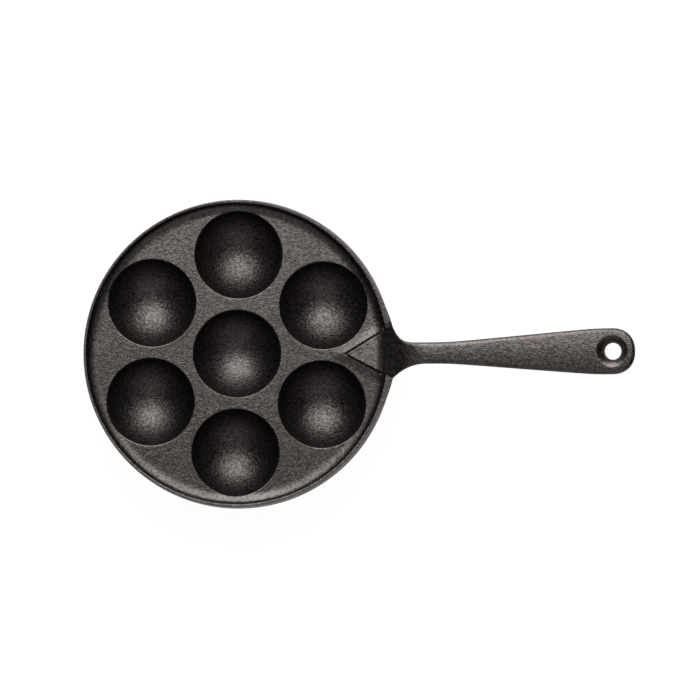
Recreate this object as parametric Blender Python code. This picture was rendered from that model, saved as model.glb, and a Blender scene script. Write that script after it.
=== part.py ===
"""Stovetop muffin pan: seven round cups in one iron casting, and an iron handle.

The pan is cast round the arrow-shaped root of a handle that was cast first, so the
object is two pieces. Metres, +Z up, +X along the handle. The origin is the middle of
the ground flat under the centre cup, on the surface that the pan stands on.
"""

from math import acos, asin, atan2, cos, pi, radians, sin, sqrt, tan

import bmesh
import bpy
from mathutils import Matrix, Vector

# Cups
CUP_MOUTH_RADIUS = 0.0285
CUP_DEPTH = 0.028
CUP_PITCH = 0.0647
OUTER_CUPS = 6
CUP_PATTERN_TURN = radians(-1.35)
CUP_LIP_BEVEL = 0.0005
CUP_WALL = 0.004
CUP_FOOT_FILLET = 0.004
GROUND_FLAT_RADIUS = 0.0075

# Plate, rim and skirt
PLATE_THICKNESS = 0.004
RIM_RADIUS = 0.100
RIM_WIDTH = 0.0017
RIM_HEIGHT = 0.008
RIM_EDGE_RADIUS = 0.0005
COVE_RADIUS = 0.006
COVE_FOOT_RADIUS = 0.016
COVE_FOOT_ANGLE = radians(12)
RIM_WALL_ANGLE = radians(78)
SKIRT_FLARE = radians(3.1)
SKIRT_WALL = 0.0032
SKIRT_EDGE_RADIUS = 0.0008
SKIRT_FILLET = 0.004

# Collar: the wall is thicker on both sides of the handle, as an upright crescent
COLLAR_REACH = 0.0040
COLLAR_RADIUS = 0.070

# Arrow-shaped root of the handle and the socket that the pan's iron makes round it
HANDLE_SIDE_OFFSET = -0.0008
ROOT_TIP_X = 0.0723
ROOT_TIP_RADIUS = 0.0006
ROOT_ANGLE_LEFT = radians(31.4)
ROOT_ANGLE_RIGHT = radians(28.0)
ROOT_DEPTH = 0.0055
ROOT_PROUD = 0.0018
ROOT_EDGE_RADIUS = 0.0005
SEAM_GAP = 0.0003
SEAM_LIP_WIDTH = 0.0055
SEAM_LIP_DROP = 0.0003
SOCKET_WALL = 0.0035
SOCKET_FLOOR = 0.0035

# Handle
SWEEP_START_X = 0.090
SWEEP_FOOT_RADIUS = 0.011
SWEEP_ANGLE = radians(37)
SWEEP_LENGTH = 0.0143
SWEEP_HEAD_RADIUS = 0.035
GRIP_LEVEL_ANGLE = radians(1.5)
GRIP_LEVEL_LENGTH = 0.037
GRIP_BEND_RADIUS = 0.200
GRIP_RISE_ANGLE = radians(9)
HANDLE_THICKNESS = 0.0085
HANDLE_EDGE_RADIUS = 0.0028
HANDLE_CROWN_RADIUS = 0.165
NECK_HALF_WIDTH = 0.0069
NECK_X = 0.124
NECK_FLARE_POWER_LEFT = 5.3
NECK_FLARE_POWER_RIGHT = 3.0
GRIP_TAPER = radians(4.97)
GRIP_BLEND = 0.0003
END_RADIUS = 0.0151
END_CENTRE_X = 0.2437
END_PARALLEL_LENGTH = 0.011

# Hanging hole in the handle's end
HOLE_RADIUS = 0.00565
HOLE_FUNNEL_RADIUS = 0.0105
HOLE_FUNNEL_DEPTH = 0.0042
HOLE_BACK_BEVEL = 0.0008

# Limits that keep round edges buildable where a section is small
MOST_EDGE_OF_DEPTH = 0.49
MOST_EDGE_OF_WIDTH = 0.8
CROWN_SAMPLE = 0.5

# How far a joined shape's edge sinks into what it joins
UNION_OVERLAP = 0.0003

# Fineness of the round surfaces
BODY_STEPS = 72
CUP_STEPS = 32
CUP_RINGS = 7
DOME_STEPS = 24
DOME_RINGS = 5
COVE_STEPS = 6
FILLET_STEPS = 3
EDGE_STEPS = 2
HOLE_STEPS = 32
ROOT_TIP_STEPS = 6
ROOT_WALL_STEPS = 10
COLLAR_STEPS = 14
SECTION_EDGE_STEPS = 4
SMOOTH_ANGLE = radians(35)

# Spacing of the handle's sections, and their angles round its two ends
ROOT_SPACING = 0.0014
FLARE_END_X = 0.110
SWEEP_SPACING = 0.0028
GRIP_SPACING = 0.004
TAPER_SPACING = 0.008
LEAST_SPACING = 0.0001
TIP_ANGLES = (radians(25), radians(50))
END_SECTIONS = 11
LAST_END_ANGLE = radians(86)

# Finish
PAN_IRON_COLOUR = (0.090, 0.081, 0.078)
PAN_IRON_ROUGHNESS = 0.42
HANDLE_IRON_COLOUR = (0.094, 0.083, 0.079)
HANDLE_IRON_ROUGHNESS = 0.50

# Heights that follow from the sizes above
CUP_SPHERE_RADIUS = (CUP_MOUTH_RADIUS ** 2 + CUP_DEPTH ** 2) / (2 * CUP_DEPTH)
DOME_RADIUS = CUP_SPHERE_RADIUS + CUP_WALL
CUP_SPHERE_Z = sqrt(DOME_RADIUS ** 2 - GROUND_FLAT_RADIUS ** 2)
PLATE_TOP = CUP_SPHERE_Z - CUP_SPHERE_RADIUS + CUP_DEPTH
PLATE_UNDER = PLATE_TOP - PLATE_THICKNESS
RIM_TOP = PLATE_TOP + RIM_HEIGHT
ROOT_TOP = PLATE_TOP + ROOT_PROUD
ROOT_BOTTOM = ROOT_TOP - ROOT_DEPTH
SOCKET_BOTTOM = ROOT_BOTTOM - SEAM_GAP
RIM_INNER_RADIUS = RIM_RADIUS - RIM_WIDTH
COLLAR_X = RIM_RADIUS + COLLAR_REACH - COLLAR_RADIUS


def clear_scene():
    for thing in list(bpy.data.objects):
        bpy.data.objects.remove(thing, do_unlink=True)


def iron(name, colour, roughness):
    """Seasoned cast iron as a Principled material."""
    material = bpy.data.materials.new(name)
    material.use_nodes = True
    shader = material.node_tree.nodes["Principled BSDF"]
    shader.inputs["Base Color"].default_value = (*colour, 1.0)
    shader.inputs["Roughness"].default_value = roughness
    shader.inputs["Metallic"].default_value = 0.0
    return material


def arc(centre, radius, start, end, steps):
    """Points on an arc about centre, both ends included. Angles in radians."""
    points = []
    for step in range(steps + 1):
        angle = start + (end - start) * step / steps
        points.append((centre[0] + radius * cos(angle), centre[1] + radius * sin(angle)))
    return points


def object_from(name, mesh_data, guide=False):
    """Turn a bmesh into a named object. A guide only shapes other objects."""
    bmesh.ops.remove_doubles(mesh_data, verts=mesh_data.verts, dist=1e-7)
    bmesh.ops.recalc_face_normals(mesh_data, faces=mesh_data.faces)
    mesh = bpy.data.meshes.new(name)
    mesh_data.to_mesh(mesh)
    mesh_data.free()
    thing = bpy.data.objects.new(name, mesh)
    bpy.context.scene.collection.objects.link(thing)
    if guide:
        thing.hide_render = True
        thing.display_type = "WIRE"
    return thing


def turned(name, profile, steps, guide=False):
    """Revolve an open profile of (radius, height) points whose ends lie on the Z axis."""
    mesh_data = bmesh.new()
    vertices = [mesh_data.verts.new((radius, 0.0, height)) for radius, height in profile]
    edges = [mesh_data.edges.new(pair) for pair in zip(vertices, vertices[1:])]
    bmesh.ops.spin(
        mesh_data, geom=vertices + edges, cent=(0, 0, 0), axis=(0, 0, 1),
        steps=steps, angle=2 * pi, use_merge=True,
    )
    return object_from(name, mesh_data, guide)


def lofted(name, rings, guide=False):
    """Skin a list of closed rings, all with the same number of points, and cap both ends."""
    mesh_data = bmesh.new()
    loops = [[mesh_data.verts.new(point) for point in ring] for ring in rings]
    count = len(loops[0])
    for lower, upper in zip(loops, loops[1:]):
        for index in range(count):
            following = (index + 1) % count
            mesh_data.faces.new((lower[index], lower[following], upper[following], upper[index]))
    mesh_data.faces.new(list(reversed(loops[0])))
    mesh_data.faces.new(loops[-1])
    return object_from(name, mesh_data, guide)


def combine(target, tool, operation):
    """Join or cut with another object by a live Boolean modifier."""
    modifier = target.modifiers.new(tool.name, "BOOLEAN")
    modifier.solver = "EXACT"
    modifier.operation = operation
    modifier.object = tool


def finish(thing, material):
    thing.data.materials.append(material)
    thing.data.shade_smooth()
    thing.data.set_sharp_from_angle(angle=SMOOTH_ANGLE)


def skirt_outer_radius(height):
    return RIM_RADIUS + (RIM_TOP - height) * tan(SKIRT_FLARE)


def skirt_inner_radius(height):
    return skirt_outer_radius(height) - SKIRT_WALL


def cup_places():
    """Centres of the centre cup and of the ring of cups about it."""
    places = [(0.0, 0.0)]
    for index in range(OUTER_CUPS):
        angle = CUP_PATTERN_TURN + 2 * pi * (index + 0.5) / OUTER_CUPS
        places.append((CUP_PITCH * cos(angle), CUP_PITCH * sin(angle)))
    return places


def cove_profile():
    """Plate to rim: a wide foot arc, a tighter cove, then the steep inner wall."""
    wall_rise_end = RIM_TOP - RIM_EDGE_RADIUS
    foot_rise = COVE_FOOT_RADIUS * (1 - cos(COVE_FOOT_ANGLE))
    foot_run = COVE_FOOT_RADIUS * sin(COVE_FOOT_ANGLE)
    cove_rise = COVE_RADIUS * (cos(COVE_FOOT_ANGLE) - cos(RIM_WALL_ANGLE))
    cove_run = COVE_RADIUS * (sin(RIM_WALL_ANGLE) - sin(COVE_FOOT_ANGLE))
    wall_rise = wall_rise_end - PLATE_TOP - foot_rise - cove_rise
    wall_run = wall_rise / tan(RIM_WALL_ANGLE)
    cove_start = RIM_INNER_RADIUS - wall_run - cove_run - foot_run
    foot = arc(
        (cove_start, PLATE_TOP + COVE_FOOT_RADIUS), COVE_FOOT_RADIUS,
        -pi / 2, -pi / 2 + COVE_FOOT_ANGLE, EDGE_STEPS,
    )
    cove_centre_radius = foot[-1][0] - COVE_RADIUS * sin(COVE_FOOT_ANGLE)
    cove_centre_height = foot[-1][1] + COVE_RADIUS * cos(COVE_FOOT_ANGLE)
    cove = arc(
        (cove_centre_radius, cove_centre_height), COVE_RADIUS,
        -pi / 2 + COVE_FOOT_ANGLE, -pi / 2 + RIM_WALL_ANGLE, COVE_STEPS,
    )
    return foot + cove[1:]


def body_profile():
    """Section of the casting without its cups, from the axis over the rim and back under."""
    edge = RIM_EDGE_RADIUS
    rim = arc((RIM_INNER_RADIUS + edge, RIM_TOP - edge), edge, pi, pi / 2, EDGE_STEPS)
    rim += arc((RIM_RADIUS - edge, RIM_TOP - edge), edge, pi / 2, 0, EDGE_STEPS)
    base_outer = skirt_outer_radius(0)
    base_inner = skirt_inner_radius(0)
    round_off = SKIRT_EDGE_RADIUS
    base = arc((base_outer - round_off, round_off), round_off, 0, -pi / 2, EDGE_STEPS)
    base += arc((base_inner + round_off, round_off), round_off, -pi / 2, -pi, EDGE_STEPS)
    fillet_outer = skirt_inner_radius(PLATE_UNDER - SKIRT_FILLET)
    under = arc(
        (fillet_outer - SKIRT_FILLET, PLATE_UNDER - SKIRT_FILLET), SKIRT_FILLET,
        0, pi / 2, FILLET_STEPS,
    )
    return [(0.0, PLATE_TOP)] + cove_profile() + rim + base + under + [(0.0, PLATE_UNDER)]


def dome_profile():
    """Outside of one cup: a foot fillet from the plate, the dome and the ground flat."""
    embed = PLATE_UNDER + PLATE_THICKNESS / 2
    reach = DOME_RADIUS + CUP_FOOT_FILLET
    fillet_height = PLATE_UNDER + UNION_OVERLAP - CUP_FOOT_FILLET
    drop = CUP_SPHERE_Z - fillet_height
    fillet_centre_radius = sqrt(reach ** 2 - drop ** 2)
    tangent_angle = atan2(drop, fillet_centre_radius)
    fillet = arc(
        (fillet_centre_radius, fillet_height), CUP_FOOT_FILLET,
        pi / 2, pi - tangent_angle, FILLET_STEPS,
    )
    flat_angle = acos(GROUND_FLAT_RADIUS / DOME_RADIUS)
    dome = arc((0.0, CUP_SPHERE_Z), DOME_RADIUS, -tangent_angle, -flat_angle, DOME_RINGS)
    outside = [(fillet_centre_radius, embed)] + fillet + dome[1:-1]
    return [(0.0, embed)] + outside + [(GROUND_FLAT_RADIUS, 0.0), (0.0, 0.0)]


def cup_profile():
    """Inside of one cup, carried up past the rim as a straight cutter."""
    sphere_z = PLATE_TOP - CUP_DEPTH + CUP_SPHERE_RADIUS
    bevel_drop = sphere_z - PLATE_TOP + CUP_LIP_BEVEL
    bowl_end = -asin(bevel_drop / CUP_SPHERE_RADIUS)
    bowl = arc((0.0, sphere_z), CUP_SPHERE_RADIUS, -pi / 2, bowl_end, CUP_RINGS)
    lip = CUP_MOUTH_RADIUS + CUP_LIP_BEVEL
    top = RIM_TOP + RIM_HEIGHT
    return [(0.0, bowl[0][1])] + bowl[1:] + [(lip, PLATE_TOP), (lip, top), (0.0, top)]


def placed_copies(name, profile, steps):
    """One guide at each cup, all in a collection that a Boolean can take whole."""
    group = bpy.data.collections.new(name)
    bpy.context.scene.collection.children.link(group)
    for index, (x, y) in enumerate(cup_places()):
        guide = turned(f"{name}_{index}", profile, steps, guide=True)
        guide.location = (x, y, 0.0)
        bpy.context.scene.collection.objects.unlink(guide)
        group.objects.link(guide)
    return group


def combine_group(target, group, operation):
    modifier = target.modifiers.new(group.name, "BOOLEAN")
    modifier.solver = "EXACT"
    modifier.operation = operation
    modifier.operand_type = "COLLECTION"
    modifier.collection = group


def root_edge(side, offset):
    """Tangent point and direction of one straight edge of the arrow-shaped root."""
    angle = ROOT_ANGLE_LEFT if side > 0 else ROOT_ANGLE_RIGHT
    centre = Vector((ROOT_TIP_X + ROOT_TIP_RADIUS, HANDLE_SIDE_OFFSET))
    normal = Vector((-sin(angle), side * cos(angle)))
    direction = Vector((cos(angle), side * sin(angle)))
    return centre + normal * (ROOT_TIP_RADIUS + offset), direction


def meet_circle(point, direction, radius, centre_x=0.0):
    """Where a line running outward meets a circle whose centre lies on the X axis."""
    start = point - Vector((centre_x, 0.0))
    along = start.dot(direction)
    beyond = start.length_squared - radius ** 2
    return point + direction * (-along + sqrt(along ** 2 - beyond))


def root_outline(offset, reach):
    """Arrow outline in plan: round tip, two straight edges and an arc about the pan's axis."""
    left_start, left_direction = root_edge(1, offset)
    right_start, right_direction = root_edge(-1, offset)
    left_end = meet_circle(left_start, left_direction, reach)
    right_end = meet_circle(right_start, right_direction, reach)
    tip_centre = (ROOT_TIP_X + ROOT_TIP_RADIUS, HANDLE_SIDE_OFFSET)
    tip = arc(
        tip_centre, ROOT_TIP_RADIUS + offset,
        pi / 2 + ROOT_ANGLE_LEFT, 3 * pi / 2 - ROOT_ANGLE_RIGHT, ROOT_TIP_STEPS,
    )
    start = atan2(right_end.y, right_end.x)
    end = atan2(left_end.y, left_end.x)
    return tip + arc((0.0, 0.0), reach, start, end, ROOT_WALL_STEPS)


def root_prism(name, levels):
    """Prism on the root's outline. Each level is (height, offset, reach)."""
    rings = []
    for height, offset, reach in levels:
        rings.append([(x, y, height) for x, y in root_outline(offset, reach)])
    return lofted(name, rings, guide=True)


def collar_outline(drawn_in, inside):
    """Crescent between the collar's face, drawn in by a small step, and an arc inside the wall."""
    face = COLLAR_RADIUS - drawn_in
    meet_x = (inside ** 2 - face ** 2 + COLLAR_X ** 2) / (2 * COLLAR_X)
    meet_y = sqrt(inside ** 2 - meet_x ** 2)
    inner_angle = atan2(meet_y, meet_x)
    face_angle = atan2(meet_y, meet_x - COLLAR_X)
    outer = arc((COLLAR_X, 0.0), face, -face_angle, face_angle, COLLAR_STEPS)
    inner = arc((0.0, 0.0), inside, inner_angle, -inner_angle, COLLAR_STEPS)
    return outer + inner[1:-1]


def collar(rim_middle):
    """Upright crescent from the base to the rim's top, with its lower and upper edges taken off."""
    skirt_middle = skirt_outer_radius(0) - SKIRT_WALL / 2
    levels = (
        (0.0, SKIRT_EDGE_RADIUS, skirt_middle),
        (SKIRT_EDGE_RADIUS, 0.0, skirt_middle),
        (RIM_TOP - RIM_EDGE_RADIUS, 0.0, rim_middle),
        (RIM_TOP, RIM_EDGE_RADIUS, rim_middle),
    )
    rings = []
    for height, drawn_in, inside in levels:
        rings.append([(x, y, height) for x, y in collar_outline(drawn_in, inside)])
    return lofted("wall_collar", rings, guide=True)


def make_pan():
    body = turned("pan_body", body_profile(), BODY_STEPS)
    combine_group(body, placed_copies("cup_domes", dome_profile(), DOME_STEPS), "UNION")

    inside_wall = RIM_RADIUS - RIM_WIDTH / 2
    combine(body, collar(inside_wall), "UNION")
    socket_base = SOCKET_BOTTOM - SOCKET_FLOOR
    socket = root_prism("socket_boss", [
        (socket_base, SOCKET_WALL, skirt_inner_radius(socket_base) + SKIRT_WALL / 2),
        (PLATE_TOP - PLATE_THICKNESS / 2, SOCKET_WALL, inside_wall),
    ])
    combine(body, socket, "UNION")

    lip_top = ROOT_TOP - SEAM_LIP_DROP
    lip_rise = lip_top - PLATE_TOP
    sunk = PLATE_THICKNESS / 4
    lips = root_prism("seam_lips", [
        (PLATE_TOP - sunk, SEAM_LIP_WIDTH * (1 + sunk / lip_rise), inside_wall),
        (lip_top, SEAM_GAP / 2, inside_wall),
    ])
    combine(body, lips, "UNION")

    combine_group(body, placed_copies("cup_cutters", cup_profile(), CUP_STEPS), "DIFFERENCE")

    clear = RIM_RADIUS + 2 * SKIRT_WALL
    pocket = root_prism("root_pocket", [
        (SOCKET_BOTTOM, SEAM_GAP, clear),
        (RIM_TOP + RIM_HEIGHT, SEAM_GAP, clear),
    ])
    combine(body, pocket, "DIFFERENCE")
    finish(body, iron("pan_iron", PAN_IRON_COLOUR, PAN_IRON_ROUGHNESS))
    return body


def top_spans():
    """Side view of the handle's top: level root, sweep up over the rim, level, gentle rise.

    Each straight or arc is (start x, start z, start slope, radius); a straight has no
    radius, and an arc that bends downward has a negative one.
    """
    spans = []
    x, z = ROOT_TIP_X, ROOT_TOP

    def straight(slope, run):
        nonlocal x, z
        spans.append((x, z, slope, None))
        x, z = x + run, z + run * tan(slope)

    def bend(radius, slope, end_slope):
        nonlocal x, z
        spans.append((x, z, slope, radius))
        x += radius * (sin(end_slope) - sin(slope))
        z += radius * (cos(slope) - cos(end_slope))

    straight(0.0, SWEEP_START_X - ROOT_TIP_X)
    bend(SWEEP_FOOT_RADIUS, 0.0, SWEEP_ANGLE)
    straight(SWEEP_ANGLE, SWEEP_LENGTH * cos(SWEEP_ANGLE))
    bend(-SWEEP_HEAD_RADIUS, SWEEP_ANGLE, GRIP_LEVEL_ANGLE)
    straight(GRIP_LEVEL_ANGLE, GRIP_LEVEL_LENGTH)
    bend(GRIP_BEND_RADIUS, GRIP_LEVEL_ANGLE, GRIP_RISE_ANGLE)
    straight(GRIP_RISE_ANGLE, 0.0)
    return spans


def top_at(x):
    """Height and slope of the handle's top at x."""
    span = [span for span in top_spans() if span[0] <= x][-1]
    start_x, start_z, slope, radius = span
    along = x - start_x
    if radius is None:
        return start_z + along * tan(slope), slope
    angle = asin(sin(slope) + along / radius)
    return start_z + radius * (cos(slope) - cos(angle)), angle


def smooth_step(value):
    value = min(max(value, 0.0), 1.0)
    return value * value * (3 - 2 * value)


def shoulder(side):
    """Corner where the root's straight edge comes out of the collar."""
    start, direction = root_edge(side, 0.0)
    return meet_circle(start, direction, COLLAR_RADIUS, COLLAR_X)


def grip_width(x):
    """Half width of the grip: level neck, straight taper, then parallel to the round end."""
    parallel_x = END_CENTRE_X - END_PARALLEL_LENGTH
    taper = END_RADIUS - (parallel_x - x) * tan(GRIP_TAPER)
    limited = (END_RADIUS + taper) / 2 - sqrt(((END_RADIUS - taper) / 2) ** 2 + GRIP_BLEND ** 2)
    middle = (NECK_HALF_WIDTH + limited) / 2
    return middle + sqrt(((limited - NECK_HALF_WIDTH) / 2) ** 2 + GRIP_BLEND ** 2)


def half_width(x, side):
    """Half width in plan at x, measured from the handle's own centre line."""
    corner = shoulder(side)
    if x > END_CENTRE_X:
        along = min((x - END_CENTRE_X) / END_RADIUS, 1.0)
        return grip_width(END_CENTRE_X) * sqrt(1 - along ** 2)
    if x <= corner.x:
        start, direction = root_edge(side, 0.0)
        if x >= start.x:
            edge_y = start.y + (x - start.x) * direction.y / direction.x
            return abs(edge_y - HANDLE_SIDE_OFFSET)
        return sqrt(max(ROOT_TIP_RADIUS ** 2 - (x - ROOT_TIP_X - ROOT_TIP_RADIUS) ** 2, 0.0))
    width = grip_width(x)
    if x < NECK_X:
        rest = (NECK_X - x) / (NECK_X - corner.x)
        power = NECK_FLARE_POWER_LEFT if side > 0 else NECK_FLARE_POWER_RIGHT
        shoulder_width = abs(corner.y - HANDLE_SIDE_OFFSET)
        width += (shoulder_width - width) * rest ** power
    return width


def end_rounding(x):
    """How far the top and the underside draw in near the handle's end, as a round edge does."""
    inside = HANDLE_EDGE_RADIUS - (END_CENTRE_X + END_RADIUS - x)
    if inside <= 0:
        return 0.0
    return HANDLE_EDGE_RADIUS - sqrt(HANDLE_EDGE_RADIUS ** 2 - inside ** 2)


def handle_section(x):
    """Closed ring across the handle at x: crowned top, round edges and a flat underside."""
    top, slope = top_at(x)
    exit_x = SWEEP_START_X + SWEEP_FOOT_RADIUS * sin(SWEEP_ANGLE)
    outside = smooth_step((x - exit_x) / (NECK_X - exit_x))
    thickness = HANDLE_THICKNESS / cos(slope)
    bottom = max(top - thickness, ROOT_BOTTOM)
    left = half_width(x, 1)
    right = half_width(x, -1)
    crown = outside * max(left, right) ** 2 / (2 * HANDLE_CROWN_RADIUS)
    top -= end_rounding(x)
    bottom += end_rounding(x)
    edge = ROOT_EDGE_RADIUS + (HANDLE_EDGE_RADIUS - ROOT_EDGE_RADIUS) * outside
    edge = min(edge, MOST_EDGE_OF_DEPTH * (top - bottom), MOST_EDGE_OF_WIDTH * min(left, right))
    ring = []
    for side, width in ((-1, right), (1, left)):
        flat = width - edge
        lower = arc((flat, bottom + edge), edge, -pi / 2, 0, SECTION_EDGE_STEPS)
        upper = arc((flat, top - edge - crown), edge, 0, pi / 2, SECTION_EDGE_STEPS)
        points = lower + upper + [(flat * CROWN_SAMPLE, top - crown * CROWN_SAMPLE ** 2)]
        if side > 0:
            points = [(0.0, top)] + list(reversed(points))
        ring += [(x, HANDLE_SIDE_OFFSET + side * offset, height) for offset, height in points]
    return ring


def handle_stations():
    """Places along X for the handle's sections, closer where its shape turns faster."""
    tip_centre = ROOT_TIP_X + ROOT_TIP_RADIUS
    stations = [tip_centre - ROOT_TIP_RADIUS * cos(angle) for angle in TIP_ANGLES]
    _, foot, sweep, head, level, rise, far = [span[0] for span in top_spans()]
    corners = [place.x for side in (1, -1) for place in (root_edge(side, 0)[0], shoulder(side))]
    joints = (foot, sweep, head, level, rise, far)
    stations += [x for x in (*corners, *joints) if x < END_CENTRE_X]
    spacings = (
        (foot, FLARE_END_X, ROOT_SPACING),
        (FLARE_END_X, NECK_X, SWEEP_SPACING),
        (NECK_X, level, GRIP_SPACING),
        (level, END_CENTRE_X, TAPER_SPACING),
    )
    for begin, end, spacing in spacings:
        count = max(int((end - begin) / spacing), 1)
        stations += [begin + (end - begin) * step / count for step in range(1, count + 1)]
    for step in range(1, END_SECTIONS + 1):
        angle = pi / 2 * step / END_SECTIONS
        stations.append(END_CENTRE_X + END_RADIUS * sin(min(angle, LAST_END_ANGLE)))
    stations.sort()
    kept = [stations[0]]
    for x in stations[1:]:
        if x - kept[-1] > LEAST_SPACING:
            kept.append(x)
    return kept


def make_handle():
    handle = lofted("handle", [handle_section(x) for x in handle_stations()])

    top, slope = top_at(END_CENTRE_X)
    over = HANDLE_THICKNESS
    spread = (HOLE_FUNNEL_RADIUS - HOLE_RADIUS) / HOLE_FUNNEL_DEPTH
    back = -HANDLE_THICKNESS
    hole = turned("hanging_hole", [
        (0.0, over),
        (HOLE_FUNNEL_RADIUS + over * spread, over),
        (HOLE_RADIUS, -HOLE_FUNNEL_DEPTH),
        (HOLE_RADIUS, back + HOLE_BACK_BEVEL),
        (HOLE_RADIUS + HOLE_BACK_BEVEL + over, back - over),
        (0.0, back - over),
    ], HOLE_STEPS, guide=True)
    hole.matrix_world = (
        Matrix.Translation((END_CENTRE_X, HANDLE_SIDE_OFFSET, top))
        @ Matrix.Rotation(-slope, 4, "Y")
    )
    combine(handle, hole, "DIFFERENCE")
    finish(handle, iron("handle_iron", HANDLE_IRON_COLOUR, HANDLE_IRON_ROUGHNESS))
    return handle


clear_scene()
make_pan()
make_handle()
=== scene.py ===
"""Looks of the stovetop muffin pan: fine surfaces, seasoned iron and a plain studio.

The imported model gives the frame. The pan's casting and its handle are worked out here as
smooth surfaces in the same places, and each replaces its plain solid.
"""

from math import acos, asin, atan2, cos, pi, radians, sin, sqrt, tan

import bmesh
import bpy
import numpy as np
from bpy.props import FloatProperty, FloatVectorProperty, PointerProperty
from mathutils import Matrix, Vector


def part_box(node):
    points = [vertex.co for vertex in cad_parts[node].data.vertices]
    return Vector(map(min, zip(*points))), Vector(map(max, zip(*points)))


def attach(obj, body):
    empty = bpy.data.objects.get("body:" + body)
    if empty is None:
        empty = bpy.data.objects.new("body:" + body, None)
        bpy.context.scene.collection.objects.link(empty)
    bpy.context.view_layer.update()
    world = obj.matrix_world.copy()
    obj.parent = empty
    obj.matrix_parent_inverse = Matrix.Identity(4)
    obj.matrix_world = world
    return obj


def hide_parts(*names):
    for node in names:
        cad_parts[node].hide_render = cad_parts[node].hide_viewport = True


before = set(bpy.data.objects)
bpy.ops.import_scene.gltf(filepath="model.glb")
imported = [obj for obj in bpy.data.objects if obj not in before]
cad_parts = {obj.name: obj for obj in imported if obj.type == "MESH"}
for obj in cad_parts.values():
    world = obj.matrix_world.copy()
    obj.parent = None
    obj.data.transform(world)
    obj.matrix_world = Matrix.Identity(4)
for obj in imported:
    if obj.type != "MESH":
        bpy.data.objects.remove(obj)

bl_info = {
    "name": "Stovetop muffin pan",
    "version": (1, 0, 0),
    "blender": (4, 5, 0),
    "location": "3D view > Sidebar > Muffin pan",
    "description": "Builds the iron pan, its handle and the studio round them",
    "category": "Object",
}

FLOOR_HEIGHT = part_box("pan_body")[0].z
MERGE_DISTANCE = 1e-7
ORIGIN = np.zeros(2)
OUTER_CUPS = 6
SECTOR = 2 * pi / OUTER_CUPS

# Each layer of the cast grain: waves in one grain size, detail, roughness and weight. Then the
# depth of the grain on each piece, in metres.
GRAIN_LAYERS = (
    (1.0, 1.5, 0.55, 1.0),
    (0.36, 1.0, 0.5, 1.1),
    (2.7, 1.0, 0.5, 0.20),
)
PAN_GRAIN_DEPTH = 0.00014
HANDLE_GRAIN_DEPTH = 0.000165

# Pits: depth in metres, how many lie in one grain size, and the distances from a pit's middle at
# which it is full and gone, over the pits' spacing. Then the noise that says where pits show:
# waves per metre and the values between which they fade in. Last, how much painted shade darkens
# the iron's colour in the pits.
PIT_DEPTH = 0.00005
PIT_WAVES = 0.42
PIT_EDGE = (0.06, 0.19)
PIT_PATCH_WAVES = 160.0
PIT_PATCH_EDGE = (0.52, 0.62)
PIT_PAINTED_SHADE = 0.45

# Clouds and mottles of the seasoning: waves per metre, detail and roughness, the part of the
# noise's range that counts, and how far they move tone and gloss.
CLOUDS = (38.0, 3.0, 0.55)
CLOUD_RANGE = (0.3, 0.7)
CLOUD_TONE = 0.10
CLOUD_GLOSS = 0.04
MOTTLES = (560.0, 2.0, 0.6)
MOTTLE_RANGE = (0.36, 0.64)
MOTTLE_TONE = 0.30
MOTTLE_GLOSS = 0.02

# Height over which the pan's skin turns coarser, and the iron's tint at a grazing angle.
COARSE_FADE = 0.006
GRAZING_TINT = (0.45, 0.45, 0.45)

# Floor and sky: brightness as a share of white, and the floor's radius and number of sides.
WHITE = (1.0, 1.0, 1.0)
FLOOR_GLOW = 0.97
FLOOR_MATT = (0.06, 0.06, 0.06)
FLOOR_RADIUS = 3.0
FLOOR_STEPS = 96
SKY_LEVEL = 0.001

# Camera: the picture's width, its sensor and focal length, and the place in plan it aims at.
IMAGE_PIXELS = 700
SENSOR_MILLIMETRES = 36.0
FOCAL_PIXELS = 4615.0
CAMERA_REACH = 20.0
CAMERA_TURN = radians(0.49)
AIM = (0.0740, 0.0017)

PAN_SIZES = "muffin_pan_sizes"
SOCKET_SIZES = "muffin_pan_socket_sizes"
HANDLE_SIZES = "muffin_pan_handle_sizes"
IRON_FINISH = "muffin_pan_iron_finish"
STUDIO_SETTINGS = "muffin_pan_studio_settings"


def length(name, default, description):
    """A size in metres, as a property that shows its unit."""
    return FloatProperty(
        name=name, default=default, description=description, unit="LENGTH", precision=5,
    )


def angle(name, default_degrees, description):
    """An angle in radians, as a property that shows degrees."""
    return FloatProperty(
        name=name, default=radians(default_degrees), description=description, unit="ROTATION",
    )


def number(name, default, description, **limits):
    """A plain number, with a least or greatest value where it needs one."""
    return FloatProperty(name=name, default=default, description=description, **limits)


def colour(name, default, description):
    """A colour, as red, green and blue from 0 to 1."""
    return FloatVectorProperty(
        name=name, default=default, description=description, subtype="COLOR",
        size=3, min=0.0, max=1.0,
    )


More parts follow.
